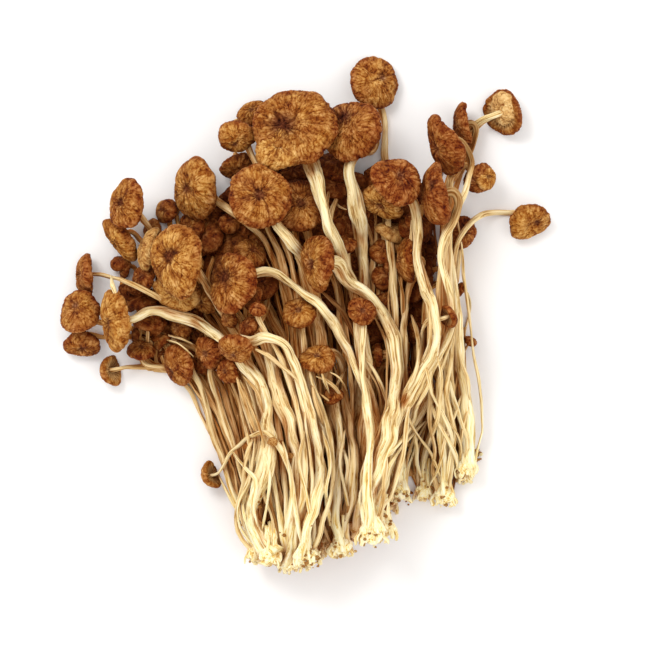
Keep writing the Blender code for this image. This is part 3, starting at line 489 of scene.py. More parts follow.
def lay_mushroom(mushroom, foot, top, own_top):
    """Lay one mushroom on the pile. Returns the cap's middle and the stem's points."""
    crown = axes(mushroom)[2]
    size = mushroom.diameter
    middle = np.array(place(mushroom.place))
    thick = thickness(size)
    tip_radius = 0.5 * mushroom.widths[0]
    gills = RIM_INSIDE * size * shrunk(mushroom)
    hollow = GILL_HEIGHT * thick * (1 - TIP_ROOM * tip_radius / gills) - GAP
    tip_offset = crown * (hollow - CAP_CENTRE * thick)
    surface = fine_cap(mushroom)
    points = surface.reshape(-1, 3) + (*middle, 0)
    under = surface[UNDER_FROM * FINE_STEPS:].reshape(-1, 3)[::UNDER_EACH]
    blocked = np.maximum(top, own_top)
    neck = NECK_WIDTHS * mushroom.widths[0] + NECK_DIAMETERS * size
    for _ in range(NECK_TRIES):
        tip = middle + tip_offset[:2]
        bend = tip - crown[:2] * neck
        route = [place(pixel) for pixel in mushroom.route]
        while len(route) > 2 and turns_back(bend, route, LEAST_TURN * tip_radius):
            route.pop(0)
        spots = [tuple(bend)] + route + [foot[:2]]
        radii = np.linspace(tip_radius, 0.5 * mushroom.widths[1], len(spots))
        needs = []
        left = sum(math.dist(spots[i], spots[i + 1]) for i in range(len(spots) - 1))
        for i in range(len(spots) - 1):
            length = math.dist(spots[i], spots[i + 1])
            parts = np.linspace(0, 1, max(3, int(length / SPACING)))
            wanted = []
            for part in parts:
                x = spots[i][0] + part * (spots[i + 1][0] - spots[i][0])
                y = spots[i][1] + part * (spots[i + 1][1] - spots[i][1])
                heights = blocked if left - part * length > MERGE else top
                radius = radii[i] + part * (radii[i + 1] - radii[i])
                wanted.append(height_over(heights, x, y, radius))
            needs.append((parts, np.array(wanted)))
            left -= length
        heights = lowest_route(spots, needs, None, foot[2])
        tip_height = heights[0] + crown[2] * neck
        centre = tip_height - tip_offset[2]
        lifted = points + (0, 0, centre)
        extra = max(0.0, lift_to_clear(blocked, lifted))
        centre += extra
        heights = lowest_route(spots, needs, heights[0] + extra, foot[2])
        tip_height += extra
        stem = [(tip[0], tip[1], tip_height)]
        stem += [(*spot, height) for spot, height in zip(spots, heights)]
        shell = under + (*middle, centre)
        near = []
        for i in range(1, 1 + NECK_SPANS):
            for part in np.linspace(0, 1, NECK_PLACES):
                near.append(np.array(stem[i]) * (1 - part) + np.array(stem[i + 1]) * part)
        clear = min(float(np.linalg.norm(shell - point, axis=1).min()) for point in near)
        short = radii[0] + GAP + LOOSE - clear
        if short <= 0:
            break
        neck += short + LOOSE
    for i in range(len(stem) - 1):
        length = math.dist(stem[i], stem[i + 1])
        for part in np.linspace(0, 1, max(3, int(length / CLOSE_SPACING))):
            x, y, z = np.array(stem[i]) * (1 - part) + np.array(stem[i + 1]) * part
            thinner = radii[max(i - 1, 0)]
            raise_ball(own_top, x, y, z, thinner + part * (radii[i] - thinner))
    highest = spread(points + (0, 0, centre))[0]
    np.maximum(top, highest, out=top)
    return np.array((*middle, centre)), stem, [float(radius) for radius in (tip_radius, *radii)]


# A lump of root mass: height and reach in half sizes, from its flat underside
LUMP_SECTION = ((-1.0, 0.0), (-1.0, 0.5), (-0.3, 0.97), (0.65, 0.72), (1.0, 0.0))
LUMP_SIDES = 7
LUMP_BUMPS = 0.12
LUMP_TURN = 5.7


def foot_points(bundle):
    """Rings of points round a lump of root mass, from the bottom to the top."""
    wide, deep, high = bundle.size
    turn = LUMP_TURN * bundle.foot[0]
    widest = max(out for level, out in LUMP_SECTION)
    rings = []
    for level, out in LUMP_SECTION:
        ring = []
        for side in range(LUMP_SIDES):
            angle = 2 * math.pi * side / LUMP_SIDES
            bumps = 1 + LUMP_BUMPS * math.cos(3 * angle + turn) if out < widest else 1
            ring.append((
                wide * out * bumps * math.cos(angle),
                deep * out * bumps * math.sin(angle),
                high * level,
            ))
        rings.append(ring)
    return np.array(rings)


ROOM = 1.12  # square of the reach that is kept free for a lump at its middle
END_ROOM = 0.45  # and the reach at its bottom and top
SPREAD_TURN = 2.4  # stems reach a lump side by side, each this much further round
SPREAD = 0.3
SPREAD_HEIGHT = 0.1
LUMP_LEVELS, LUMP_REACHES, LUMP_PLACES = 15, 12, 48  # close points all over a lump


def lay_bundle(bundle, top):
    """Lay a bundle's lump, then its mushrooms, and return where they came to lie."""
    x, y = place(bundle.foot)
    lump = foot_points(bundle)
    solid = []
    for level in np.linspace(-1, 1, LUMP_LEVELS):
        for out in np.linspace(0, 1, LUMP_REACHES):
            for side in range(LUMP_PLACES):
                angle = 2 * math.pi * side / LUMP_PLACES
                reach = out * math.sqrt(ROOM - level**2 * (ROOM - END_ROOM**2))
                solid.append((
                    bundle.size[0] * reach * math.cos(angle),
                    bundle.size[1] * reach * math.sin(angle),
                    bundle.size[2] * level,
                ))
    solid = np.array(solid) + (x, y, 0)
    height = lift_to_clear(top, solid)
    own_top = np.zeros_like(top)
    laid = []
    for number, mushroom in enumerate(bundle.mushrooms):
        angle = SPREAD_TURN * number
        end = (
            x + SPREAD * bundle.size[0] * math.cos(angle),
            y + SPREAD * bundle.size[1] * math.sin(angle),
            height + SPREAD_HEIGHT * bundle.size[2] * math.cos(2 * angle),
        )
        laid.append(lay_mushroom(mushroom, end, top, own_top))
    highest = spread(solid + (0, 0, height))[0]
    np.maximum(top, own_top, out=top)
    np.maximum(top, highest, out=top)
    return lump + (x, y, height), laid


pile = np.zeros((CELLS, CELLS))
laid_bundles = {bundle.name: lay_bundle(bundle, pile) for bundle in CLUSTER}

# Stems
# Dry stems are tough and fibrous. They have shrunk to flattened, twisted strands with
# grooves along them, pale on the ridges and brown in the grooves, a brown that is partly
# their own and partly painted shade, and they whiten towards the lump that they grow
# from. Each bundle is one piece, with its lump of root mass.
SLOPE_COUNT = 1024
SLOPE_SEED = 11
SCATTER = (73856093, 19349663, 83492791)  # large primes give each place its own slope
SEED_SCATTER = 2654435
BUMP_HEIGHT = 1.6  # brings the bumps up to about 1

drawn = np.random.RandomState(SLOPE_SEED).normal(size=(SLOPE_COUNT, 3))
slopes = drawn / np.linalg.norm(drawn, axis=1, keepdims=True)


def rolling(points, seed=0):
    """Smooth bumps between about -1 and 1 all over space, alike on every run."""
    points = np.asarray(points, float)
    flat = points.reshape(-1, 3)
    cell = np.floor(flat).astype(np.int64)
    part = flat - cell
    ease = part**3 * (part * (part * 6 - 15) + 10)
    total = np.zeros(len(flat))
    for corner in itertools.product((0, 1), repeat=3):
        by_x, by_y, by_z = ((cell + corner) * SCATTER).T
        code = by_x ^ by_y ^ by_z ^ seed * SEED_SCATTER
        share = np.prod(np.where(corner, ease, 1 - ease), axis=1)
        total += share * ((part - corner) * slopes[code % SLOPE_COUNT]).sum(1)
    return (BUMP_HEIGHT * total).reshape(points.shape[:-1])


def stacked(*parts):
    """Points or directions from their three parts."""
    return np.stack(np.broadcast_arrays(*parts), -1)


def eased(value, low, high):
    """A smooth step from 0 at low to 1 at high."""
    part = np.clip((value - low) / (high - low), 0, 1)
    return part * part * (3 - 2 * part)


# Painted shade: a place's colour darkens as the pile round it hides the sky; the pile round
# it is looked at this many ways and this far
SKY_SIDES = 12
SKY_REACHES = (1.2 * MM, 2.4 * MM, 4.5 * MM, 8 * MM, 14 * MM)
OPEN, SHUT = 0.35, 0.92  # share of the sky that is hidden from a light and a dark place


def grid_cells(x, y):
    """Row and column of the grid at places over the floor."""
    half = CELLS * CELL / 2
    column = np.clip(((x + half) / CELL).astype(int), 0, CELLS - 1)
    row = np.clip(((y + half) / CELL).astype(int), 0, CELLS - 1)
    return row, column


def painted_shade_share(points):
    """How far the neighbours of a place hide the sky from it, from 0 to 1, for painted shade."""
    hidden = np.zeros(points.shape[:-1])
    for side in range(SKY_SIDES):
        angle = 2 * math.pi * side / SKY_SIDES
        steepest = np.zeros(points.shape[:-1])
        for reach in SKY_REACHES:
            x = points[..., 0] + reach * math.cos(angle)
            y = points[..., 1] + reach * math.sin(angle)
            steepest = np.maximum(steepest, (pile[grid_cells(x, y)] - points[..., 2]) / reach)
        hidden += steepest / np.sqrt(1 + steepest**2)
    return eased(hidden / SKY_SIDES, OPEN, SHUT)


FLOOR = 0.05 * MM  # nothing reaches lower than this over the surface
PRESSED = 0.03  # share of its height that is left to a skin pressed on the surface


def shell(rings, first, last, values):
    """A closed skin over rings of points that ends in a point at each side."""
    # painted shade: the share of the sky that the pile hides from each point darkens its colour
    values["deep"] = painted_shade_share(rings)
    count, sides = rings.shape[:2]
    points = np.vstack((first, rings.reshape(-1, 3), last))
    heights = points[:, 2]
    points[:, 2] = np.maximum(heights, FLOOR + PRESSED * (heights - heights.min()))
    here = 1 + np.arange(count)[:, None] * sides + np.arange(sides)
    beside = np.roll(here, -1, 1)
    quads = np.stack((here[:-1], beside[:-1], beside[1:], here[1:]), -1).reshape(-1, 4)
    end = len(points) - 1
    fans = np.vstack((
        np.stack((np.zeros(sides, int), beside[0], here[0]), -1),
        np.stack((np.full(sides, end), here[-1], beside[-1]), -1),
    ))
    corners = (points - points.mean(0))[np.vstack((quads[:, :3], quads[:, (0, 2, 3)], fans))]
    inside_out = np.einsum("ij,ij->", corners[:, 0], np.cross(corners[:, 1], corners[:, 2])) < 0
    if inside_out:
        quads, fans = quads[:, ::-1], fans[:, ::-1]
    made = {}
    for name, value in values.items():
        flat = value.reshape(count * sides, -1)
        ends = value.reshape(count, sides, -1).mean(1)
        made[name] = np.vstack((ends[:1], flat, ends[-1:]))
    return points, quads, fans, made


def piece(name, shells, finish, nodes=()):
    """One mesh object of several closed skins, riding with the cluster."""
    points, quads, fans = [], [], []
    values = {}
    count = 0
    for spots, fours, threes, given in shells:
        points.append(spots)
        quads.append(fours + count)
        fans.append(threes + count)
        for key, value in given.items():
            values.setdefault(key, []).append(value)
        count += len(spots)
    points, quads, fans = np.vstack(points), np.vstack(quads), np.vstack(fans)
    mesh = bpy.data.meshes.new(name)
    mesh.vertices.add(len(points))
    mesh.vertices.foreach_set("co", points.astype(np.float32).ravel())
    corners = np.concatenate((quads.ravel(), fans.ravel()))
    mesh.loops.add(len(corners))
    mesh.loops.foreach_set("vertex_index", corners.astype(np.int32))
    starts = np.concatenate((np.arange(len(quads)) * 4, quads.size + np.arange(len(fans)) * 3))
    mesh.polygons.add(len(starts))
    mesh.polygons.foreach_set("loop_start", starts.astype(np.int32))
    mesh.update(calc_edges=True)
    mesh.shade_smooth()
    for key, parts in values.items():
        value = np.vstack(parts)
        kind = "FLOAT_VECTOR" if value.shape[1] == 3 else "FLOAT"
        layer = mesh.attributes.new(key, kind, "POINT")
        layer.data.foreach_set("vector" if kind == "FLOAT_VECTOR" else "value", value.ravel())
    mesh.materials.append(finish)
    made = bpy.data.objects.new(name, mesh)
    bpy.context.scene.collection.objects.link(made)
    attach(made, "root")
    if nodes:
        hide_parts(*nodes)
    return made


def smooth_line(points, radii, step):
    """Places along a smooth line through points, with the stem's radius at each."""
    points, radii = np.array(points), np.array(radii)
    lengths = np.linalg.norm(np.diff(points, axis=0), axis=1)
    ways = np.diff(points, axis=0) / lengths[:, None]
    leanings = np.vstack((ways[:1], ways[:-1] + ways[1:], ways[-1:]))
    leanings /= np.linalg.norm(leanings, axis=1, keepdims=True)
    line, sizes = [], []
    for i, length in enumerate(lengths):
        part = np.linspace(0, 1, max(2, round(length / step)), endpoint=False)[:, None]
        line.append(
            points[i] * (1 + 2 * part) * (1 - part) ** 2
            + points[i + 1] * (3 - 2 * part) * part**2
            + leanings[i] * length * part * (1 - part) ** 2
            - leanings[i + 1] * length * (1 - part) * part**2
        )
        sizes.append(radii[i] + part[:, 0] * (radii[i + 1] - radii[i]))
    return np.vstack((*line, points[-1:])), np.append(np.concatenate(sizes), radii[-1])


def crosswise(line):
    """Two directions across a line at each of its points, turning as little as they can."""
    ways = np.gradient(line, axis=0)
    ways /= np.linalg.norm(ways, axis=1, keepdims=True)
    side = np.cross(ways[0], (0.0, 0.0, 1.0))
    side /= np.linalg.norm(side)
    sides = []
    for way in ways:
        side = side - way * (side @ way)
        side /= np.linalg.norm(side)
        sides.append(side)
    sides = np.array(sides)
    return sides, np.cross(ways, sides)


STEM_STEP = 1.1 * MM  # between rings of points along a stem
AROUND_STEP = 0.64 * MM  # between points round a stem
LEAST_AROUND = 8  # points round the thinnest stem
FAR = 1.0  # metres to the foot, for a stem without one
STEM_SHIFT = 31.7  # each stem takes its bumps from another place
WANDER = 0.4  # how far a stem strays from its line, in radii
WANDER_LENGTH = 9 * MM
STRAIGHT_END = 6 * MM  # and it strays less this close to its ends
SWELLS = ((0.13, 0.7, 3), (0.07, 2.3, 11))  # how high in radii, how close, and seed
TIP_FLARE = 0.22  # how much wider a stem is where it meets its cap
TIP_LENGTH = 2.5 * MM
FOOT_FLARE = 0.45  # and where it runs into the lump
FOOT_LENGTH = 9 * MM
TURN_LENGTH = 75 * MM  # a stem twists once in this length
FLATTENING = 0.22  # how far from round a stem's section is
FLATTER, FLATTER_CLOSENESS = 0.8, 0.5  # share by which this changes along it
GROOVES = 1.6  # a higher number gives more grooves round a stem
GROOVES_THIN, GROOVES_WIDTH = 0.75, 2.5 * MM  # and a thick stem has more of them
GROOVE_LENGTH = 30 * MM
GROOVE_DEPTH = 0.28  # in radii
GROOVE_NARROWNESS = 4.5
FINE_CLOSENESS = (2.3, 2.3, 1.7)  # the fine grooves between are this much closer
FINE_NARROWNESS = 3.0
FINE_DEPTH = 0.08
FINE_COLOUR = 0.35  # share of the fine grooves in the colour
GRAIN_LENGTH = 26 * MM  # the fibres' colour is drawn out to this length
GRAIN_SHIFT = 7
WHITE_LENGTH = 46 * MM  # a stem whitens over this length
BROWN_LENGTHS = (13 * MM, 28 * MM)  # where a stem that is brown at the cap turns pale


def stem_shell(line, radii, seed, tone, least=LEAST_AROUND, top_tone=None, foot=None):
    """A shrunken, grooved stem along a line that starts at the cap.

    It is pale at a tone of 0, tan at 1 and dark brown at 2; the tan and dark brown are partly
    its own colour and partly painted shade for stems that lie deep. It flares and whitens
    towards its foot, unless foot says how white it is with root mass, from 0 to 1.
    """
    steps = np.linalg.norm(np.diff(line, axis=0), axis=1)
    along = np.append(0, np.cumsum(steps))
    to_foot = along[-1] - along if foot is None else np.full(len(along), FAR)
    if foot is None:
        foot = eased(WHITE_LENGTH - to_foot, 0, WHITE_LENGTH)
    shift = STEM_SHIFT * seed
    middle = stacked(along / WANDER_LENGTH, shift, 0)
    to_end = np.minimum(along, along[-1] - along)
    stray = WANDER * radii * np.minimum(1, to_end / STRAIGHT_END)
    side, other = crosswise(line)
    line = line + side * (stray * rolling(middle, 1))[:, None]
    line = line + other * (stray * rolling(middle, 2))[:, None]
    swell = 1.0
    for height, closeness, key in SWELLS:
        swell = swell + height * rolling(middle * closeness, key)
    swell += TIP_FLARE * np.maximum(0, 1 - along / TIP_LENGTH) ** 2
    swell += FOOT_FLARE * np.maximum(0, 1 - to_foot / FOOT_LENGTH) ** 2
    count = max(least, round(2 * math.pi * radii.max() / AROUND_STEP))
    angle = 2 * math.pi * np.arange(count) / count
    turn = 2 * math.pi * along[:, None] / TURN_LENGTH + seed
    flat = FLATTENING * (1 + FLATTER * rolling(middle * FLATTER_CLOSENESS, 4))[:, None]
    cos, sin = np.cos(angle)[None, :], np.sin(angle)[None, :]
    length = along[:, None] + 0 * cos
    wide = GROOVES * (GROOVES_THIN + radii[:, None] / GROOVES_WIDTH)
    spots = stacked(cos * wide + shift, sin * wide, length / GROOVE_LENGTH)
    groove = np.minimum(1, np.abs(rolling(spots, 5)) * GROOVE_NARROWNESS)
    fine = np.minimum(1, np.abs(rolling(spots * FINE_CLOSENESS, 6)) * FINE_NARROWNESS)
    reach = radii[:, None] * swell[:, None] * (1 + flat * np.cos(2 * (angle - turn)))
    reach = reach * (1 - GROOVE_DEPTH * (1 - groove) - FINE_DEPTH * (1 - fine))
    across, up = reach * cos, reach * sin
    rings = line[:, None] + side[:, None] * across[..., None] + other[:, None] * up[..., None]
    browner = 0.0
    if top_tone is not None:
        browner = (top_tone - tone) * (1 - eased(along, *BROWN_LENGTHS))[:, None]
    grain = stacked(across / MM, up / MM, length / GRAIN_LENGTH)
    return shell(rings, line[0], line[-1], {
        "ridge": (1 - FINE_COLOUR) * groove + FINE_COLOUR * fine,
        "grain": grain + (GRAIN_SHIFT * seed, 0, 0),
        "foot": np.reshape(foot, (-1, 1)) + 0 * across,
        "tone": 0 * across + tone + browner,
    })


GAMMA = 2.2


def linear(red, green, blue):
    """A colour as Blender holds it, from the usual 0 to 255 numbers."""
    return (*((value / 255) ** GAMMA for value in (red, green, blue)), 1)


SHEEN = 0.1  # dry skin hardly shines
RELIEF = 0.7  # strength of the finest relief, which only the finish holds


class Paint:
    """Lays out the nodes of one material."""

    def __init__(self, name, roughness):
        self.material = bpy.data.materials.new(name)
        self.material.use_nodes = True
        self.nodes = self.material.node_tree.nodes
        self.links = self.material.node_tree.links
        self.shader = self.nodes["Principled BSDF"]
        self.shader.inputs["Roughness"].default_value = roughness
        self.shader.inputs["Specular IOR Level"].default_value = SHEEN

    def held(self, name, output="Fac"):
        """The value that the mesh holds under a name."""
        layer = self.nodes.new("ShaderNodeAttribute")
        layer.attribute_name = name
        return layer.outputs[output]

    def set(self, socket, value):
        """Give a socket a number, or the output of another node."""
        if isinstance(value, (int, float)):
            socket.default_value = value
        else:
            self.links.new(value, socket)

    def sum(self, operation, first, second, clamp=False):
        """A sum or product of two values, either of which may be a number."""
        made = self.nodes.new("ShaderNodeMath")
        made.operation = operation
        made.use_clamp = clamp
        self.set(made.inputs[0], first)
        self.set(made.inputs[1], second)
        return made.outputs["Value"]

    def mixed(self, *parts, less=0.0, clamp=False):
        """Values added up, each times its own number, less a number."""
        total = None
        for value, weight in parts:
            part = self.sum("MULTIPLY", value, weight)
            total = part if total is None else self.sum("ADD", total, part)
        return self.sum("SUBTRACT", total, less, clamp)

    def noise(self, grain, scale, detail):
        """Soft blotches from 0 to 1."""
        made = self.nodes.new("ShaderNodeTexNoise")
        made.inputs["Scale"].default_value = scale
        made.inputs["Detail"].default_value = detail
        self.links.new(grain, made.inputs["Vector"])
        return made.outputs["Fac"]

    def lines(self, grain, scale, thin):
        """Crooked lines: 0 along them and 1 away from them."""
        away = self.sum("SUBTRACT", self.noise(grain, scale, detail=2.0), 0.5)
        away = self.sum("ABSOLUTE", away, 0.0)
        return self.sum("MULTIPLY", away, thin, clamp=True)

    def ramp(self, value, stops):
        """A colour that runs through stops as a value rises."""
        made = self.nodes.new("ShaderNodeValToRGB")
        band = made.color_ramp
        while len(band.elements) < len(stops):
            band.elements.new(1.0)
        for element, (place_on, colour) in zip(band.elements, stops):
            element.position = place_on
            element.color = linear(*colour)
        self.links.new(value, made.inputs["Fac"])
        return made.outputs["Color"]

    def blend(self, share, first, second):
        """The second colour laid over the first, by a share from 0 to 1."""
        made = self.nodes.new("ShaderNodeMix")
        made.data_type = "RGBA"
        made.clamp_factor = True
        self.set(made.inputs["Factor"], share)
        self.links.new(first, made.inputs["A"])
        self.links.new(second, made.inputs["B"])
        return made.outputs["Result"]

    def finish(self, colour, height, depth):
        """Join the colour and a fine relief of the given depth to the shader."""
        self.links.new(colour, self.shader.inputs["Base Color"])
        bump = self.nodes.new("ShaderNodeBump")
        bump.inputs["Strength"].default_value = RELIEF
        bump.inputs["Distance"].default_value = depth
        self.links.new(height, bump.inputs["Height"])
        self.links.new(bump.outputs["Normal"], self.shader.inputs["Normal"])
        return self.material


# Shades from the bottom of a groove to the top of a ridge, in the usual 0 to 255. The
# grooves' brown is partly the stems' own colour and partly painted shade.
STEM_SHADES = (
    (0.00, (116, 62, 18)),
    (0.25, (194, 150, 86)),
    (0.50, (240, 213, 152)),
    (0.75, (250, 232, 184)),
    (1.00, (255, 246, 222)),
)
TAN_SHADES = (
    (0.00, (96, 42, 8)),
    (0.30, (164, 106, 46)),
    (0.60, (212, 168, 106)),
    (1.00, (240, 210, 152)),
)
FOOT_SHADES = (
    (0.00, (156, 98, 34)),
    (0.25, (230, 186, 92)),
    (0.50, (252, 236, 176)),
    (1.00, (255, 252, 232)),
)
# Painted shade, laid over places that the pile shuts in
STEM_PAINTED_SHADE = (
    (0.00, (108, 30, 1)),
    (0.50, (178, 102, 34)),
    (1.00, (230, 180, 108)),
)
# Dark brown stems low in the pile: partly their own colour, partly painted shade in the gaps
DARK_AND_SHADED_SHADES = (
    (0.00, (40, 10, 2)),
    (0.50, (92, 42, 14)),
    (1.00, (140, 84, 40)),
)


def stem_finish():
    """Fibres along the stem: pale ridges, brown grooves that are partly painted shade, and
    painted shade where the pile shuts it in.
    """
    paint = Paint("dry_stem", roughness=0.74)
    grain = paint.held("grain", "Vector")
    streaks = paint.noise(grain, scale=1.9, detail=4.0)
    lines = paint.lines(grain, scale=1.5, thin=12.0)
    ridge, tone = paint.held("ridge"), paint.held("tone")
    share = paint.mixed((streaks, 0.55), (ridge, 0.55), (lines, 0.34), less=0.35, clamp=True)
    colour = paint.blend(tone, paint.ramp(share, STEM_SHADES), paint.ramp(share, TAN_SHADES))
    colour = paint.blend(paint.held("foot"), colour, paint.ramp(share, FOOT_SHADES))
    # painted shade where the pile hides the sky from the stem
    deep = paint.mixed((paint.held("deep"), 0.9))
    colour = paint.blend(deep, colour, paint.ramp(share, STEM_PAINTED_SHADE))
    # dark brown at a tone over 1, partly painted shade in the gaps between the others
    dark_and_shaded = paint.sum("SUBTRACT", tone, 1.0, clamp=True)
    colour = paint.blend(dark_and_shaded, colour, paint.ramp(share, DARK_AND_SHADED_SHADES))
    return paint.finish(colour, share, depth=0.3 * MM)


dry_stem = stem_finish()

# Stems that lie deep in the cluster are thin and tan, the ones on top are pale; the tan is
# partly their own colour and partly painted shade for their depth
BUNDLE_TONES = {
    "stems_bed_left": 0.6, "stems_bed_middle": 0.7, "stems_bed_centre": 0.7,
    "stems_bed_right": 0.4, "stems_lower_left": 0.35, "stems_left": 0.5,
    "stems_upper_left": 0.3, "stems_crown_left": 0.35, "stems_crown": 0.15,
    "stems_right_outer": 0.15, "stems_right_web": 0.25, "stems_right_back": 0.2,
    "stems_right_inner": 0.05, "stems_right_middle": 0.05, "stems_lower_middle": 0.12,
    "stems_middle_left": 0.12,
}
# Some are brown under the cap
BROWN_TOPS = {"cap_finger": 1.5, "cap_spindle": 1.5, "cap_right_tall": 1.4, "cap_knob_2": 1.1}
INSET = 0.25  # a stem runs this far into its cap, in thicknesses

laid_lines = {}
for bundle in CLUSTER:
    for mushroom, (centre, stem, radii) in zip(bundle.mushrooms, laid_bundles[bundle.name][1]):
        inset = INSET * thickness(mushroom.diameter)
        start = np.array(stem[0]) + axes(mushroom)[2] * inset
        points = [start] + [np.array(point) for point in stem[1:]]
        laid_lines[mushroom.name] = smooth_line(points, radii, STEM_STEP)

# The lumps: felted root mass, crumbly, with furrows from the stems down their sides
LUMP_AROUND, LUMP_RINGS = 40, 22
LUMP_END = 0.97  # level of its first and last ring, in half heights
LUMP_SQUARENESS = 2.6  # 2 is round
FURROW_SIZES = (2.2 * MM, 7 * MM)  # of a furrow, across and along the stems
FURROW_LEVELS = 1.2
FURROW_NARROWNESS = 2.8
LUMP_REACH = 0.86  # out to the middle of a ridge's side, in half sizes
FURROW_RISE, FURROW_MIDDLE = 0.26, 0.6  # from a furrow to a ridge, and to that middle
CRUMB_CLOSENESS, CRUMB_RISE, CRUMB_HEIGHT = 2.1, 0.08, 0.5 * MM  # bits fast on its skin
FLAT_BELOW = -0.6  # they don't raise a lump's underside, below this level
LUMP_GRAIN = 1.6 * MM
LEAST_RIDGE = 0.2


def lump_shell(bundle, lump, tone):
    """The lump of root mass at a bundle's foot, with furrows down its sides."""
    low, high = lump[0, 0, 2], lump[-1, 0, 2]
    middle = lump[2].mean(0)
    angle = 2 * math.pi * np.arange(LUMP_AROUND) / LUMP_AROUND
    levels = np.linspace(-LUMP_END, LUMP_END, LUMP_RINGS)
    reach = np.sqrt(1 - np.abs(levels) ** LUMP_SQUARENESS)[:, None]
    levels = levels[:, None]
    wide, deep = bundle.size[0], bundle.size[1]
    cos, sin = np.cos(angle)[None, :], np.sin(angle)[None, :]
    spots = stacked(
        cos * reach * wide / FURROW_SIZES[0] + bundle.foot[0],
        sin * reach * deep / FURROW_SIZES[1] + bundle.foot[1],
        levels * FURROW_LEVELS,
    )
    furrow = np.minimum(1, np.abs(rolling(spots, 7)) * FURROW_NARROWNESS)
    crumb = rolling(spots * CRUMB_CLOSENESS, 8)
    reach = reach * (LUMP_REACH + FURROW_RISE * (furrow - FURROW_MIDDLE) + CRUMB_RISE * crumb)
    height = 0.5 * (high + low) + 0.5 * (high - low) * levels
    across, along = wide * reach * cos, deep * reach * sin
    rings = stacked(
        middle[0] + across,
        middle[1] + along,
        height + CRUMB_HEIGHT * crumb * (levels > FLAT_BELOW),
    )
    return shell(rings, rings[0].mean(0), rings[-1].mean(0), {
        "ridge": LEAST_RIDGE + (1 - LEAST_RIDGE) * furrow,
        "grain": stacked(across, along, height) / LUMP_GRAIN,
        "foot": 0 * furrow + 1,
        "tone": 0 * furrow + tone,
    })


# Thin stems that never grew a cap worth the name fill the gaps beside the others
THIN_ONES = 4  # beside each stem
THIN_STEP = 2.3 * MM  # between rings of points along one
THIN_AROUND = 6  # points round it
THIN_LEAST = 1.4 * MM  # a stem thinner than this has none beside it
THIN_STARTS = (0.15, 0.7)  # where one starts, as a share of the other's length
THIN_RADII = (0.4, 0.95)  # in mm
THIN_PLACES = 8  # one with fewer places along it is left out
ASIDE = (0.8, 2.2)  # how far beside the other one it lies, in radii
LOWER = (0.3, 2.2)  # and how much lower
THIN_SWAY, THIN_SWAY_LENGTH, THIN_SHIFT = 1.6 * MM, 17 * MM, 91.3
HOME_LENGTH, HOME = 14 * MM, 0.4  # it comes this much closer to the other at the foot
THIN_SUNK = 1.5 * MM  # one starts where no more than this lies over it
THIN_TIP, THIN_TAPER, THIN_ROUNDNESS = 0.5 * MM, 9 * MM, 0.5
THIN_TANNER, THIN_TANNEST = 0.5, 0.95
DARK_SHARE = 0.25  # of them are dark brown all through, partly as painted shade in the gaps
DARK_TONES = (1.2, 2.0)
ROOTED_SHARE = 0.6  # of the others whiten towards the foot


def height_at(points):
    """Heights of the pile over points."""
    return pile[grid_cells(points[..., 0], points[..., 1])]


def thin_shells(mushroom, tone, random):
    """Thin stems beside one that is laid, a little lower, each from its own height."""
    line, widths = laid_lines[mushroom.name]
    shells = []
    if mushroom.widths[1] < THIN_LEAST:
        return shells
    for number in range(THIN_ONES):
        first = int(random.uniform(*THIN_STARTS) * len(line))
        part = line[first::2]
        if len(part) < THIN_PLACES:
            continue
        ways = np.gradient(part, axis=0)
        across = np.stack((-ways[:, 1], ways[:, 0]), 1)
        across /= np.linalg.norm(across, axis=1, keepdims=True)
        radius = random.uniform(*THIN_RADII) * MM
        length = np.arange(len(part)) * THIN_STEP
        side = (1 if random.uniform() < 0.5 else -1) * random.uniform(*ASIDE)
        near = side * (widths[first::2] + radius)
        spots = stacked(length / THIN_SWAY_LENGTH, THIN_SHIFT * number, first)
        home = np.minimum(1, (length[-1] - length) / HOME_LENGTH) * (1 - HOME) + HOME
        shifted = part.copy()
        shifted[:, :2] += across * ((near + THIN_SWAY * rolling(spots, 9)) * home)[:, None]
        lower = random.uniform(*LOWER) * widths[first::2]
        shifted[:, 2] = np.maximum(radius, part[:, 2] - lower)
        shown = height_at(shifted) < shifted[:, 2] + radius + THIN_SUNK
        covered = int(np.argmin(shown))
        shifted, length = shifted[covered:], length[covered:] - length[covered]
        if len(shifted) < THIN_PLACES:
            continue
        sizes = radius * np.minimum(1, (length + THIN_TIP) / THIN_TAPER) ** THIN_ROUNDNESS
        own_tone = min(THIN_TANNEST, tone + random.uniform(0, THIN_TANNER))
        if random.uniform() < DARK_SHARE:
            own_tone = random.uniform(*DARK_TONES)
        rooted = own_tone < 1 and random.uniform() < ROOTED_SHARE
        shells.append(stem_shell(
            shifted, sizes, first + number, own_tone, THIN_AROUND, foot=None if rooted else 0.0))
    return shells


# Strands of root mass: each runs over the lump, beyond it at both ends, and curls
ROOTS = 13  # at each foot
ROOT_POINTS = 17
ROOT_ASIDE = 1.05  # how far out on the lump one may lie, in half sizes
ROOT_LIFTS, ROOT_ROUND = (-0.5, 1.0), 1.2
ROOT_STARTS, ROOT_ENDS = (2.0, 3.6), (-1.2, -0.55)
SPLAY_LEAST, SPLAY, SPLAY_FROM, SPLAY_LENGTH = 0.5, 0.6, 1.5, 2.6  # towards the cut end
CUT_END = 1.45  # where the lump ends, in half sizes
ROOT_LOW, ROOT_RISE = 0.3, 0.8
CURL_CLOSENESS, CURL_SHIFT, CURL_FOOT_SHIFT = 1.3, 7.7, 0.3
LOOSE_FROM, LOOSE_TO = -1.5, 1.3  # a strand curls more towards its loose end
CURLS = (1.5 * MM, 1.2 * MM)  # sideways and up
ROOT_RADII, ROOT_LEAST = (0.45, 1.0), 0.15  # in mm
ROOT_KNOTS, ROOT_KNOT_CLOSENESS = 0.3, 1.7
ROOT_TIP, ROOT_TAPER = -0.6, 0.3
ROOT_WHITES = (0.6, 1.0)


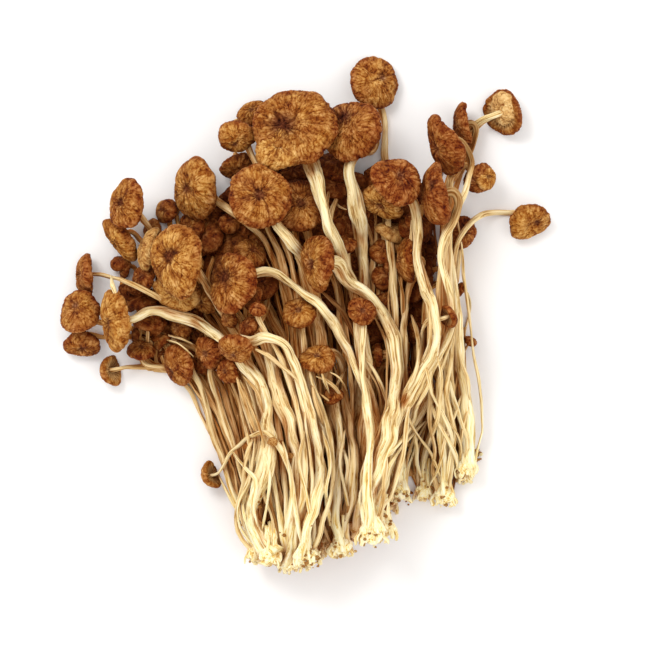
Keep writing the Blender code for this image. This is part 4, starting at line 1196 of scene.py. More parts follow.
def root_shells(bundle, lump, tone, random):
    """Strands of root mass that run over the lump and splay at the cut end."""
    middle = lump[2].mean(0)
    wide, deep = bundle.size[0], bundle.size[1]
    high = 0.5 * (lump[-1, 0, 2] - lump[0, 0, 2])
    shells = []
    for number in range(ROOTS):
        aside = random.uniform(-ROOT_ASIDE, ROOT_ASIDE)
        lift = random.uniform(*ROOT_LIFTS) * math.sqrt(ROOT_ROUND - aside**2)
        way = np.linspace(random.uniform(*ROOT_STARTS), random.uniform(*ROOT_ENDS), ROOT_POINTS)
        splay = aside * (SPLAY_LEAST + SPLAY * eased(SPLAY_FROM - way, 0, SPLAY_LENGTH))
        round_end = np.sqrt(np.clip(1 - (np.minimum(way, 0) / CUT_END) ** 2, 0, 1))
        rise = high * lift * (ROOT_LOW + ROOT_RISE * round_end)
        line = middle + stacked(wide * splay, deep * way, rise)
        spots = (way * CURL_CLOSENESS, number * CURL_SHIFT, bundle.foot[0] * CURL_FOOT_SHIFT)
        curl = stacked(*spots)
        loose = eased(-way, LOOSE_FROM, LOOSE_TO)
        line[:, 0] += CURLS[0] * loose * rolling(curl, 3)
        line[:, 2] += CURLS[1] * loose * rolling(curl, 4)
        radius = random.uniform(*ROOT_RADII) * MM
        knots = 1 + ROOT_KNOTS * rolling(curl * ROOT_KNOT_CLOSENESS, 5)
        sizes = radius * knots * eased(way - way.min(), ROOT_TIP, ROOT_TAPER)
        sizes = np.maximum(sizes, ROOT_LEAST * MM)
        line[:, 2] = np.maximum(sizes, line[:, 2])
        white = random.uniform(*ROOT_WHITES)
        shells.append(stem_shell(line, sizes, number, tone, THIN_AROUND, foot=white))
    return shells


# Crumbs of earth and root mass cling to a lump and lie beside it
CRUMBS = 7  # at each foot
CRUMB_RINGS, CRUMB_AROUND, CRUMB_END = 6, 9, 0.9
CRUMB_BUMPS, CRUMB_BUMP_CLOSENESS, CRUMB_SHIFT = 0.35, 1.1, 3.7
CRUMB_SHAPE = (1.2, 1.0, 0.8)
CRUMB_RIDGE, CRUMB_PALER = 0.3, 0.4
CRUMB_GRAIN = 2
CRUMB_ANGLES, CRUMB_OUT = (-2.8, -0.3), (0.7, 1.25)  # all but the stems' side of a lump
CRUMB_SIZES = (0.25, 0.65)  # in mm
CRUMB_LEVELS = (-0.6, 0.9)
CRUMB_WHITE, CRUMB_WHITEST = 1.5, 0.9
ON_FLOOR = 0.8  # height of a crumb's middle on the floor, in its sizes


def crumb_shell(centre, size, seed, foot):
    """A rough crumb; foot is 1 for root mass and 0 for brown earth and bark."""
    levels = np.linspace(-CRUMB_END, CRUMB_END, CRUMB_RINGS)
    reach = np.sqrt(1 - levels**2)[:, None]
    angle = 2 * math.pi * np.arange(CRUMB_AROUND) / CRUMB_AROUND
    ways = stacked(reach * np.cos(angle), reach * np.sin(angle), levels[:, None])
    rough = 1 + CRUMB_BUMPS * rolling(ways * CRUMB_BUMP_CLOSENESS + seed * CRUMB_SHIFT, 12)
    rings = centre + size * ways * rough[..., None] * CRUMB_SHAPE
    return shell(rings, rings[0].mean(0), rings[-1].mean(0), {
        "ridge": (CRUMB_RIDGE + CRUMB_PALER * foot) * rough,
        "grain": ways * CRUMB_GRAIN + seed,
        "foot": 0 * rough + foot,
        "tone": 0 * rough + 1,
    })


def crumbs_at_foot(bundle, lump, random):
    """The crumbs of one lump."""
    middle = lump[2].mean(0)
    shells = []
    for number in range(CRUMBS):
        angle = random.uniform(*CRUMB_ANGLES)
        out = random.uniform(*CRUMB_OUT)
        size = random.uniform(*CRUMB_SIZES) * MM
        spot = middle + (
            bundle.size[0] * out * math.cos(angle),
            bundle.size[1] * out * math.sin(angle),
            bundle.size[2] * random.uniform(*CRUMB_LEVELS) / out,
        )
        spot[2] = max(spot[2], ON_FLOOR * size)
        white = min(CRUMB_WHITEST, CRUMB_WHITE * random.uniform())
        shells.append(crumb_shell(spot, size, number, white))
    return shells


THIN_WIDTH = 3.0 * MM  # a stem thinner than this is browner, partly its own colour and partly painted shade, as it lies deeper
THIN_BROWNER, BROWNEST = 0.2, 0.9

for bundle in CLUSTER:
    random = np.random.RandomState(bundle.foot[0])
    lump = laid_bundles[bundle.name][0]
    tone = BUNDLE_TONES.get(bundle.name, 0.0)
    shells = [lump_shell(bundle, lump, tone)]
    shells += root_shells(bundle, lump, tone, random)
    shells += crumbs_at_foot(bundle, lump, random)
    for mushroom in bundle.mushrooms:
        line, widths = laid_lines[mushroom.name]
        thin = min(1.0, max(0.0, (THIN_WIDTH - mushroom.widths[1]) / MM))
        own_tone = min(BROWNEST, tone + THIN_BROWNER * thin)
        top_tone = BROWN_TOPS.get(mushroom.name)
        shells.append(
            stem_shell(line, widths, mushroom.place[0], own_tone, top_tone=top_tone))
        shells += thin_shells(mushroom, tone, random)
    piece(bundle.name + "_dried", shells, dry_stem, [bundle.name])

# Caps
# A dried cap is a shrivelled disc of soft brown flesh. Its skin has gathered into fine
# crooked ridges that run out to the rim, the rim is curled under, and the middle has
# sunk. Underneath are pale gills that run to the stem.
CAP_STEP = 0.475 * MM  # between points on a cap with a stem of its own that shows
SMALL_STEP = 0.56 * MM  # on a small one
GILL_STEP = 1.0 * MM  # and between rings of points on the gills
SECTION_STEPS = 16  # the section is rounded by this many steps between its points
LEAST_RINGS, LEAST_GILL_RINGS = 8, 4


def cap_line(diameter, step):
    """A cap's half section as close places: reach, height, length, and where gills start."""
    thick = thickness(diameter)
    knots = np.array(CAP_SECTION) * (diameter, thick)
    before, after = knots[1] * (-1, 1), knots[-2] * (-1, 1)
    knots = np.vstack((before, knots, after))
    line = []
    starts = []
    for i in range(1, len(knots) - 2):
        starts.append(len(line))
        p0, p1, p2, p3 = knots[i - 1:i + 3]
        for part in np.linspace(0, 1, SECTION_STEPS, endpoint=False):
            line.append(0.5 * (
                2 * p1 + (p2 - p0) * part
                + (2 * p0 - 5 * p1 + 4 * p2 - p3) * part**2
                + (3 * p1 - p0 - 3 * p2 + p3) * part**3
            ))
    line.append(knots[-2])
    line = np.array(line)
    lengths = np.append(0, np.cumsum(np.linalg.norm(np.diff(line, axis=0), axis=1)))
    inner_rim = lengths[starts[-1]]
    rings = max(LEAST_RINGS, round(inner_rim / step))
    gill_rings = max(LEAST_GILL_RINGS, round((lengths[-1] - inner_rim) / GILL_STEP))
    top_places = np.linspace(0, inner_rim, rings)
    places = np.append(top_places, np.linspace(inner_rim, lengths[-1], gill_rings)[1:])
    reach = np.interp(places, lengths, line[:, 0]) / diameter
    height = np.interp(places, lengths, line[:, 1]) / thick
    return np.maximum(reach, 0), height, places, inner_rim


# Pixels where the middle of a cap has sunk, where it is not at the cap's own middle
SUNKEN = {
    "cap_crown_big": (283, 126), "cap_crown_dark": (343, 115), "cap_top": (384, 75),
    "cap_upper_left": (183, 188), "cap_big_left": (168, 257), "cap_outer_left": (74, 305),
    "cap_twin_front": (223, 276), "cap_left_low": (169, 373), "cap_hook": (234, 356),
    "cap_knob_2": (235, 146), "cap_knob_3": (240, 172), "cap_right_tall": (437, 185),
    "cap_far_right": (539, 222), "cap_split": (473, 180), "cap_crown_right": (400, 176),
    "cap_left_gold": (108, 324),
}
SUNKEN_REACH = 0.3  # no middle has sunk further out than this, in diameters
LEAST_LEAN = 0.05


def sunken_place(mushroom):
    """Where a cap's middle has sunk, across and along the cap, in metres."""
    if mushroom.name not in SUNKEN:
        return 0.0, 0.0
    across, along, crown = axes(mushroom)
    shift = np.array(place(SUNKEN[mushroom.name])) - place(mushroom.place)
    shift = shift - crown[:2] * (1 - CAP_CENTRE) * thickness(mushroom.diameter)
    lean = max(along[:2] @ along[:2], LEAST_LEAN)
    limit = SUNKEN_REACH * mushroom.diameter
    sideways = float(np.clip(shift @ across[:2], -limit, limit))
    lengthways = float(np.clip(shift @ along[:2] / lean, -limit, limit))
    return sideways, lengthways


# The ridges of the skin: crooked all ways in the middle, drawn out towards the rim
CREASES = 1.15 * MM  # across one ridge
CREASE_LENGTH = 3.6  # a ridge near the rim is this much longer than wide
SWAY, SWAY_WIDTH = 0.6, 3.2 * MM
MIDDLE_SKIN, SKIN_CHANGE = 0.1, 0.18  # the middle's kind, in diameters, then the change
RIDGE_NARROWNESSES = (6, 2.6)  # of the creases' bottoms and of their sides
WORN, WORN_WIDTH, WORN_RANGE = 0.35, 4 * MM, (-0.5, 0.6)  # where creases are shallow


def skin_ridges(local, length, cos, sin, size, seed, sway):
    """Crooked ridges of a cap's skin: 1 on top of one and 0 in a crease."""
    middle_ridge = rolling(local / CREASES + SWAY * sway, 3)
    rim_size = 0.5 * size / CREASES
    band = stacked(cos * rim_size + seed, sin * rim_size, length / (CREASE_LENGTH * CREASES))
    rim_ridge = rolling(band + SWAY * sway, 4)
    share = np.clip((length - MIDDLE_SKIN * size) / (SKIN_CHANGE * size), 0, 1)
    swing = np.abs(middle_ridge * (1 - share) + rim_ridge * share)
    bottom, sides = (0.5 * np.minimum(1, swing * narrow) for narrow in RIDGE_NARROWNESSES)
    worn = eased(rolling(local / WORN_WIDTH, 8), *WORN_RANGE)
    return bottom + sides + WORN * worn * (1 - (bottom + sides))


# The sunken middle, with furrows that run out from it
DENT = 0.055  # depth in diameters
DENT_WIDTH = 0.085
DENT_WIDTHS = {"cap_crown_big": 0.15, "cap_crown_dark": 0.13, "cap_twin_front": 0.12}
SPOKES = 1.9  # a higher number gives more furrows
SPOKE_DEPTH = 0.022
SPOKE_REACH = 0.3
SPOKE_LENGTH, SPOKE_SWAY, SPOKE_NARROWNESS, SPOKE_START = 0.6, 0.15, 4, 0.25


def sunken_middle(mushroom, length, cos, sin, seed, sway):
    """How far a cap has sunk at each point, and the furrows round the sunken place."""
    sideways, lengthways = sunken_place(mushroom)
    width = DENT_WIDTHS.get(mushroom.name, DENT_WIDTH)
    over, up = length * cos - sideways, length * sin - lengthways
    away = np.hypot(over, up) / (width * mushroom.diameter)
    facing = np.arctan2(up, over)
    from_dent = away * width / SPOKE_REACH
    spots = stacked(
        SPOKES * np.cos(facing) + seed, SPOKES * np.sin(facing), SPOKE_LENGTH * from_dent)
    spoke = np.abs(rolling(spots + SPOKE_SWAY * sway, 13)) * SPOKE_NARROWNESS
    spoke = np.maximum(0, 1 - spoke) * np.exp(-from_dent**2) * eased(from_dent, 0.0, SPOKE_START)
    return np.exp(-away**2), spoke, SPOKE_DEPTH * width / DENT_WIDTH


def outward_from(rings, centre):
    """The way out of a skin at each of its points."""
    round_way = np.roll(rings, -1, 1) - np.roll(rings, 1, 1)
    outward = np.cross(round_way, np.gradient(rings, axis=0))
    outward /= np.maximum(np.linalg.norm(outward, axis=2, keepdims=True), 1e-12)
    return -outward if (outward * (rings - centre)).sum() < 0 else outward


LEAST_CAP_AROUND = 28
SEED_ROW = 3  # each cap takes its bumps from another place
RIDGE_HEIGHT = 0.36 * MM
RIDGE_MIDDLE = 0.75
FULL_RIDGES = 14 * MM  # a cap smaller than this has lower ridges
SMOOTH_MIDDLE = 1.2 * MM  # the very middle has none
LUMPS, LUMP_WIDTH = 0.032, 0.3  # how lumpy a cap is, and how wide a lump, in diameters
PLEATS = 0.007  # how deep the folds in its rim are, in diameters
FOLDS, FOLD_LENGTH, FOLD_NARROWNESS = 1.5, 0.4, 4.5
FURROW_DEPTH, BEND_WIDTH, BEND_SWAY = 0.018, 0.36, 0.35  # in diameters
FURROWS = 8.0  # a higher number makes the furrows narrower
FURROW_START = (0.05, 0.2)
GILL_DEPTH = 0.32 * MM
GILL_EDGE = 1.5 * MM  # the gills reach their full depth this far in from the rim
GILL_EVERY = 4  # points from one gill to the next
GILL_SWAY, GILL_SWAY_WIDTH = 0.8, 2 * MM
# Painted shade in the folds, furrows and spokes: how much darker each is painted, and how far a
# spoke takes on the sunken middle's colour
FOLD_DARK, FURROW_DARK, SPOKE_DARK, SPOKE_SUNK = 0.4, 0.5, 0.75, 0.6
GRAIN_HEIGHT = 0.3
RIM_SHADE, RIM_FROM = 0.5, 0.75  # painted shade where the rim curls under: how much browner a cap is there, and from where


def cap_shell(mushroom, centre, tone, step):
    """A dried cap: brown at a tone of 1, golden at 0 and bleached at -1."""
    size = mushroom.diameter
    reach, height, lengths, inner_rim = cap_line(size, step)
    sides = max(LEAST_CAP_AROUND, round(math.pi * size / step / GILL_EVERY) * GILL_EVERY)
    rings = cap_points(mushroom, list(zip(reach, height)), sides) + centre
    seed = mushroom.place[0] * SEED_ROW + mushroom.place[1]
    angle = (2 * math.pi * np.arange(sides) / sides)[None, :]
    cos, sin = np.cos(angle), np.sin(angle)
    length = lengths[:, None] + 0 * cos
    out = np.minimum(1, 2 * reach)[:, None] + 0 * cos
    local = stacked(length * cos, length * sin, seed * MM)
    sway = stacked(*(rolling(local / SWAY_WIDTH, key) for key in (1, 2)), 0)
    ridge = skin_ridges(local, length, cos, sin, size, seed, sway)
    sunk, spoke, spoke_depth = sunken_middle(mushroom, length, cos, sin, seed, sway)
    folds = rolling(stacked(cos * FOLDS + seed, sin * FOLDS, FOLD_LENGTH * out), 5)
    fold = np.maximum(0, 1 - np.abs(folds) * FOLD_NARROWNESS) * out**3
    lumps = rolling(local / (LUMP_WIDTH * size), 6)
    bends = np.abs(rolling(local / (BEND_WIDTH * size) + BEND_SWAY * sway, 10))
    furrow = np.maximum(0, 1 - bends * FURROWS) * eased(length / size, *FURROW_START)
    under = length > inner_rim + 0.5 * step
    gills = under * np.clip((length - inner_rim) / GILL_EDGE, 0, 1)
    gill_sway = GILL_SWAY * rolling(local / GILL_SWAY_WIDTH, 7)
    gill = 0.5 + 0.5 * np.cos(sides / GILL_EVERY * angle + gill_sway)
    ridged = (1 - gills) * np.clip(length / SMOOTH_MIDDLE, 0, 1)
    rise = ridged * RIDGE_HEIGHT * min(1, size / FULL_RIDGES) * (ridge - RIDGE_MIDDLE)
    rise += (1 - under) * size * (LUMPS * lumps - PLEATS * fold - DENT * sunk)
    rise -= (1 - under) * size * (FURROW_DEPTH * furrow + spoke_depth * spoke)
    rise -= gills * GILL_DEPTH * (1 - gill)
    rings = rings + outward_from(rings, centre) * rise[..., None]
    # painted shade: darker in the folds, furrows and spokes
    ridge = ridge * (1 - FOLD_DARK * fold) * (1 - FURROW_DARK * furrow) * (1 - SPOKE_DARK * spoke)
    grain = stacked(length * cos, length * sin, height[:, None] * size * GRAIN_HEIGHT)
    return shell(rings[1:-1], rings[0].mean(0), rings[-1].mean(0), {
        "ridge": (ridge * (1 - gills) + gill * gills)[1:-1],
        "grain": (grain / MM + (seed, 0, 0))[1:-1],
        "sunk": (np.maximum(sunk, SPOKE_SUNK * spoke) * (1 - gills))[1:-1],
        "gills": np.maximum(gills, max(0, -tone))[1:-1],
        # painted shade: browner where the rim curls under
        "tone": (tone + RIM_SHADE * eased(out, RIM_FROM, 1.0))[1:-1],
    })


# Shades from the bottom of a crease to the top of a ridge, in the usual 0 to 255. The
# creases' dark is partly the skin's own brown and partly painted shade.
GOLDEN_SHADES = (
    (0.00, (104, 44, 3)),
    (0.25, (152, 88, 28)),
    (0.50, (188, 132, 64)),
    (0.75, (216, 166, 97)),
    (1.00, (242, 204, 148)),
)
BROWN_SHADES = (
    (0.00, (62, 14, 1)),
    (0.25, (110, 46, 8)),
    (0.50, (142, 79, 34)),
    (0.75, (179, 119, 68)),
    (1.00, (216, 170, 126)),
)
SUNKEN_SHADES = (
    (0.00, (48, 18, 10)),
    (0.50, (104, 62, 44)),
    (1.00, (172, 126, 96)),
)
GILL_SHADES = (
    (0.00, (134, 78, 34)),
    (0.45, (214, 166, 102)),
    (1.00, (246, 222, 164)),
)
# Painted shade, laid over places that the pile shuts in
CAP_PAINTED_SHADE = (
    (0.00, (36, 8, 1)),
    (0.50, (96, 42, 10)),
    (1.00, (156, 94, 44)),
)


def cap_finish():
    """Golden ridges over brown creases whose dark is partly painted shade, darker and redder
    where the cap has sunk, with painted shade where the pile shuts it in and at the rim.
    """
    paint = Paint("dry_cap", roughness=0.68)
    grain = paint.held("grain", "Vector")
    mottle = paint.noise(grain, scale=1.5, detail=4.0)
    blotches = paint.noise(grain, scale=0.34, detail=2.0)
    creases = paint.lines(grain, scale=0.36, thin=20.0)
    share = paint.mixed(
        (mottle, 0.45), (blotches, 0.75), (paint.held("ridge"), 0.5), (creases, 0.2),
        less=0.66, clamp=True)
    patches = paint.noise(grain, scale=0.16, detail=2.0)
    browner = paint.mixed((patches, 1.6), (paint.held("tone"), 1.0), less=0.8, clamp=True)
    colour = paint.blend(
        browner, paint.ramp(share, GOLDEN_SHADES), paint.ramp(share, BROWN_SHADES))
    colour = paint.blend(paint.held("sunk"), colour, paint.ramp(share, SUNKEN_SHADES))
    colour = paint.blend(paint.held("gills"), colour, paint.ramp(share, GILL_SHADES))
    # painted shade where the pile hides the sky from the cap
    deep = paint.mixed((paint.held("deep"), 0.8))
    colour = paint.blend(deep, colour, paint.ramp(share, CAP_PAINTED_SHADE))
    return paint.finish(colour, paint.mixed((mottle, 1.0), (creases, 0.5)), depth=0.6 * MM)


dry_cap = cap_finish()

# How brown each cap is, from 1 for brown through 0 for golden to -1 for bleached
CAP_TONES = {
    "cap_top": 0.45, "cap_crown_dark": 0.65, "cap_crown_big": 0.4, "cap_crown_right": 0.95,
    "cap_behind_crown": -0.05, "cap_finger": 0.9, "cap_spindle": 0.9, "cap_right_tall": 0.85,
    "cap_split": 0.8, "cap_right_dark": 0.9, "cap_left_red": 0.9, "cap_red_disc": 0.95,
    "cap_dark_left": 0.95, "cap_small_9": 0.9, "cap_middle": 0.5, "cap_twin_front": 0.55,
    "cap_twin_back": 0.6, "cap_knob_3": 0.4, "cap_crown_back": 0.6, "cap_gills_right": 0.5,
    "cap_hook": 0.6, "cap_left_low": 0.7, "cap_edge_middle": 0.6, "cap_low_left": 0.5,
    "cap_crown_front": 0.5, "cap_bed_12": 0.2, "cap_orange": 0.4, "cap_bed_7": 0.1,
    "cap_tan_edge": -0.4, "cap_far_left_1": 0.1, "cap_left_gold": 0.0, "cap_small_8": 1.3,
    "cap_small_7": 1.1, "cap_middle_low": 0.5, "cap_knob_1": 0.5, "cap_knob_2": 0.3,
    "cap_upper_left": 0.25, "cap_far_left_2": 0.5, "cap_outer_left": 0.5, "cap_edge_left": 0.7,
}
OTHER_TONE, OTHER_SMALL_TONE = 0.15, 0.75  # and of a cap that isn't listed
# Folded parts that lie over a cap
LOBES = {
    # pixel, diameter in mm, heading, tilt, how brown, how many mm higher
    "cap_crown_big": ((280, 147), 18.5, 110, 74, -0.05, 1.6),
    "cap_split": ((487, 177), 9.0, 20, 60, -0.05, 1.6),
    "cap_gills_right": ((504, 107), 12.5, 195, 48, -1.0, 4.8),
}
HIDDEN_WIDTHS = (2, 2)  # in mm, of a stem that doesn't show
SKIN_AROUND = 24  # points round a cap whose height is looked up


def extra_cap(name, pixel, diameter, heading, tilt):
    """A cap without a solid of its own, and the lowest and highest point of its skin."""
    mushroom = Mushroom(name, pixel, diameter, heading, tilt, HIDDEN_WIDTHS, [], own=False)
    heights = cap_points(mushroom, CAP_SECTION, SKIN_AROUND)[..., 2]
    return mushroom, heights.min(), heights.max()


for bundle in CLUSTER:
    for mushroom, (centre, stem, radii) in zip(bundle.mushrooms, laid_bundles[bundle.name][1]):
        usual = OTHER_TONE if mushroom.own else OTHER_SMALL_TONE
        step = CAP_STEP if mushroom.own else SMALL_STEP
        skins = [cap_shell(mushroom, centre, CAP_TONES.get(mushroom.name, usual), step)]
        if mushroom.name in LOBES:
            *shape, tone, higher = LOBES[mushroom.name]
            lobe, lowest, highest = extra_cap("lobe", *shape)
            x, y = place(lobe.place)
            top = float(height_at(np.array((x, y)))) + higher * MM
            skins.append(cap_shell(lobe, np.array((x, y, top - highest)), tone, CAP_STEP))
        nodes = [mushroom.name] if mushroom.own else []
        piece(mushroom.name + "_dried", skins, dry_cap, nodes)

# Hidden caps
# Behind the heads lie more caps of the same dried flesh, brown and out of the light, that
# show only in the gaps. Each sits on a thin stem that runs in beside the nearest one.
HIDDEN_STEP = 1.0 * MM  # between points on one of them
COVERED = 6 * MM  # only what lies higher than this covers a hidden cap
HIDDEN_ROOM = 4.5 * MM  # from its top up to what covers it
HIDDEN_REACH = 0.45  # what lies over a hidden cap is looked for this far out, in diameters
HIDDEN = (
    # pixel, diameter in mm, heading, tilt, how brown
    ((205, 236), 15, 150, 50, 0.8), ((228, 240), 14, 120, 60, 0.8),
    ((190, 226), 13, 180, 50, 0.7), ((216, 262), 13, 150, 50, 0.9),
    ((147, 322), 13, 85, 15, 0.8), ((133, 336), 6, 180, 15, 0.9),
    ((332, 162), 13, 90, 50, 0.9), ((340, 172), 9, 90, 50, 1.0),
    ((414, 207), 13, 60, 50, 0.9), ((424, 192), 12, 80, 40, 0.9),
    ((142, 299), 13, 90, 40, 1.0), ((127, 300), 9, 180, 40, 0.9),
    ((203, 362), 11, 100, 50, 0.8), ((184, 362), 9, 100, 50, 0.8),
    ((270, 168), 12, 90, 40, 1.1), ((118, 262), 8, 100, 40, 1.0),
    ((157, 338), 6, 100, 40, 0.9), ((188, 306), 13, 110, 60, 0.8),
    ((243, 182), 10, 120, 50, 0.8), ((262, 238), 12, 60, 60, 0.8),
    ((272, 150), 11, 100, 50, 0.8), ((292, 170), 11, 90, 60, 0.9),
    ((334, 184), 12, 60, 60, 0.9), ((380, 176), 12, 80, 60, 0.9),
    ((342, 214), 9, 90, 60, 0.9), ((348, 244), 7, 90, 60, 0.9),
    ((392, 230), 12, 70, 35, -0.35), ((384, 250), 11, 90, 60, 0.9),
    ((386, 276), 11, 80, 60, 0.9), ((420, 222), 11, 60, 50, 0.8),
    ((398, 262), 11, 60, 60, 0.9), ((318, 300), 11, 90, 60, 0.7),
    ((150, 322), 11, 190, 50, 0.8), ((402, 246), 9, 80, 30, -0.2),
    ((178, 328), 11, 190, 50, 0.6), ((160, 341), 8, 130, 20, 0.7),
    ((196, 330), 10, 190, 50, 0.7), ((264, 286), 11, 120, 60, 0.9),
    ((252, 298), 9, 150, 50, 0.9), ((288, 336), 11, 90, 60, 0.9),
    ((345, 322), 11, 90, 60, 0.9), ((376, 330), 11, 90, 60, 0.9),
    ((150, 228), 8, 170, 60, 0.5), ((165, 209), 9.5, 120, 65, -0.15),
    ((243, 268), 9, 120, 60, 0.9), ((302, 246), 12, 80, 60, 0.9),
)


def heights_near(x, y, reach, least):
    """Heights of the pile within reach of a place, where they are over the least one."""
    rows, columns, square = window(x, y, reach)
    heights = pile[rows, columns][square < reach**2]
    return heights[heights > least]


HIDDEN_RADIUS, HIDDEN_TONE = 0.9 * MM, 0.7  # of its stem
HIDDEN_INSET = 0.2  # where its stem starts, in thicknesses
HIDDEN_NECK = 3 * MM  # straight length of the stem under its cap
HIDDEN_DROP = 2 * MM  # it bends this much nearer to the feet
HIDDEN_AIM = 15 * MM  # and makes for a place this much nearer
HIDDEN_LOWER = 2.5 * MM  # how far it lies below the stem that it joins
JOIN_EVERY = 8  # it follows every eighth place of that stem
HIDDEN_SHIFT = 0.5


def hidden_line(centre, mushroom):
    """A stem from a hidden cap to the nearest laid one, and on beside it to the foot."""
    crown = axes(mushroom)[2]
    start = centre - crown * HIDDEN_INSET * thickness(mushroom.diameter)
    bend = start - crown * HIDDEN_NECK - (0, HIDDEN_DROP, 0)
    aim = bend[:2] - (0, HIDDEN_AIM)
    nearest = min(
        (float(np.hypot(*(line[:, :2] - aim).T).min()), name)
        for name, (line, widths) in laid_lines.items()
    )[1]
    line = laid_lines[nearest][0]
    join = int(np.hypot(*(line[:, :2] - aim).T).argmin())
    rest = line[join::JOIN_EVERY].copy()
    rest[:, 2] = np.maximum(HIDDEN_RADIUS, rest[:, 2] - HIDDEN_LOWER)
    points = [start, bend, *rest]
    for point in points:
        point[2] = max(point[2], HIDDEN_RADIUS)
    return smooth_line(points, [HIDDEN_RADIUS] * len(points), THIN_STEP)


shells = []
stems = []
for number, (*shape, tone) in enumerate(HIDDEN):
    mushroom, lowest, highest = extra_cap(f"hidden_{number}", *shape)
    x, y = place(mushroom.place)
    covers = heights_near(x, y, HIDDEN_REACH * mushroom.diameter, COVERED)
    room = float(covers.min()) - HIDDEN_ROOM if len(covers) else 0.0
    centre = np.array((x, y, max(room - highest, -lowest)))
    shells.append(cap_shell(mushroom, centre, tone, HIDDEN_STEP))
    line, widths = hidden_line(centre, mushroom)
    stems.append(stem_shell(line, widths, number + HIDDEN_SHIFT, HIDDEN_TONE, THIN_AROUND))
piece("hidden_caps", shells, dry_cap)
piece("hidden_stems", stems, dry_stem)

# The golden cap
# One paler cap of the same dried flesh shows between the big one at the left and the
# stems. It is held between its neighbours.
GOLDEN = ((176, 291), 17, 250, 66)  # pixel, diameter in mm, heading, tilt
GOLDEN_HEIGHT = 15 * MM
GOLDEN_TONE = -0.08
golden = extra_cap("golden_under", *GOLDEN)[0]
middle = np.array((*place(golden.place), GOLDEN_HEIGHT))
piece("golden_under", [cap_shell(golden, middle, GOLDEN_TONE, CAP_STEP)], dry_cap)

# The bed
# The lowest caps of all are brown and thin, lie nearly flat and close the gaps behind
# the heads. Their stems lie side by side under the others and have dried together.
BED_STEP = 21  # pixels from one to the next
BED_CORNER = (145, 160)  # pixel of the first one
BED_COLUMNS, BED_ROWS = 15, 10
BED_SHIFT = 6  # pixels that one lies out of its row
BED_CAP_STEP = 1.3 * MM  # between points on a cap
BED_SIZES, BED_TILTS, BED_LIFTS = (11, 15), (55, 85), (0, 3)  # mm, degrees, mm
BED_TONE = 0.9
BED_ROOM = 0.5 * MM  # between such a cap and the lowest piece over it
LEAST_TOP = 1.5 * MM
# Pixels round the space behind the heads, where the bed shows
BEHIND_HEADS = (
    (138, 300), (165, 280), (185, 248), (212, 222), (245, 192), (275, 165), (345, 165),
    (375, 185), (400, 205), (428, 225), (432, 330), (300, 345), (236, 352), (205, 364),
    (172, 356), (146, 335),
)


def inside(pixel, corners):
    """Whether a pixel lies inside a closed line through corners."""
    column, row = pixel
    crossings = 0
    for (x1, y1), (x2, y2) in zip(corners, corners[1:] + corners[:1]):
        if (y1 > row) != (y2 > row) and column < x1 + (row - y1) * (x2 - x1) / (y2 - y1):
            crossings += 1
    return crossings % 2 == 1


random = np.random.RandomState(5)
shells = []
for number, (column, row) in enumerate(itertools.product(range(BED_COLUMNS), range(BED_ROWS))):
    pixel = tuple(
        round(first + BED_STEP * count + random.uniform(-BED_SHIFT, BED_SHIFT))
        for first, count in zip(BED_CORNER, (column, row))
    )
    diameter, heading = random.uniform(*BED_SIZES), random.uniform(0, 360)
    tilt, lift = random.uniform(*BED_TILTS), random.uniform(*BED_LIFTS) * MM
    if not inside(pixel, BEHIND_HEADS):
        continue
    mushroom, lowest, highest = extra_cap(f"bed_{number}", pixel, diameter, heading, tilt)
    x, y = place(pixel)
    over = heights_near(x, y, 0.5 * mushroom.diameter, MM)
    top = lift + highest - lowest
    if len(over):
        top = max(LEAST_TOP, min(top, over.min() - BED_ROOM))
    centre = np.array((x, y, top - highest))
    shells.append(cap_shell(mushroom, centre, BED_TONE, BED_CAP_STEP))
piece("bed_caps", shells, dry_cap)

# The stems of the bed, from its caps to the feet
BED_STEMS = 30
BED_RADIUS = 1.25 * MM
BED_TOPS = ((218, 332), (464, 332))  # pixels of the first and the last one's top
BED_FEET = ((264, 540), (466, 464))  # and of its foot
BED_POINTS = 7
BED_TOP_SHIFTS, BED_FOOT_SHIFTS, BED_SWAY = (-8, 8), (-8, 2), (-3, 3)  # pixels
BED_RISE = 1.5  # how much higher one may lie, in mm
# their dark brown is partly their own colour and partly painted shade in the gaps
BED_STEM_TONES = (1.2, 1.9)
BED_STEM_SHIFT = 0.7


def between(first, last, share):
    """A place that is a share of the way from one place to another."""
    return np.array(first) + share * np.subtract(last, first)


random = np.random.RandomState(8)
shells = []
for number in range(BED_STEMS):
    part = number / (BED_STEMS - 1)
    start = between(*BED_TOPS, part) + (0, random.uniform(*BED_TOP_SHIFTS))
    end = between(*BED_FEET, part) + (0, random.uniform(*BED_FOOT_SHIFTS))
    spots = []
    for share in np.linspace(0, 1, BED_POINTS):
        pixel = between(start, end, share) + (random.uniform(*BED_SWAY), 0)
        spots.append((*place(pixel), BED_RADIUS + random.uniform(0, BED_RISE) * MM))
    line, widths = smooth_line(spots, [BED_RADIUS] * len(spots), THIN_STEP)
    tone = random.uniform(*BED_STEM_TONES)
    shells.append(stem_shell(line, widths, number + BED_STEM_SHIFT, tone, foot=0.0))
piece("bed_stems", shells, dry_stem)

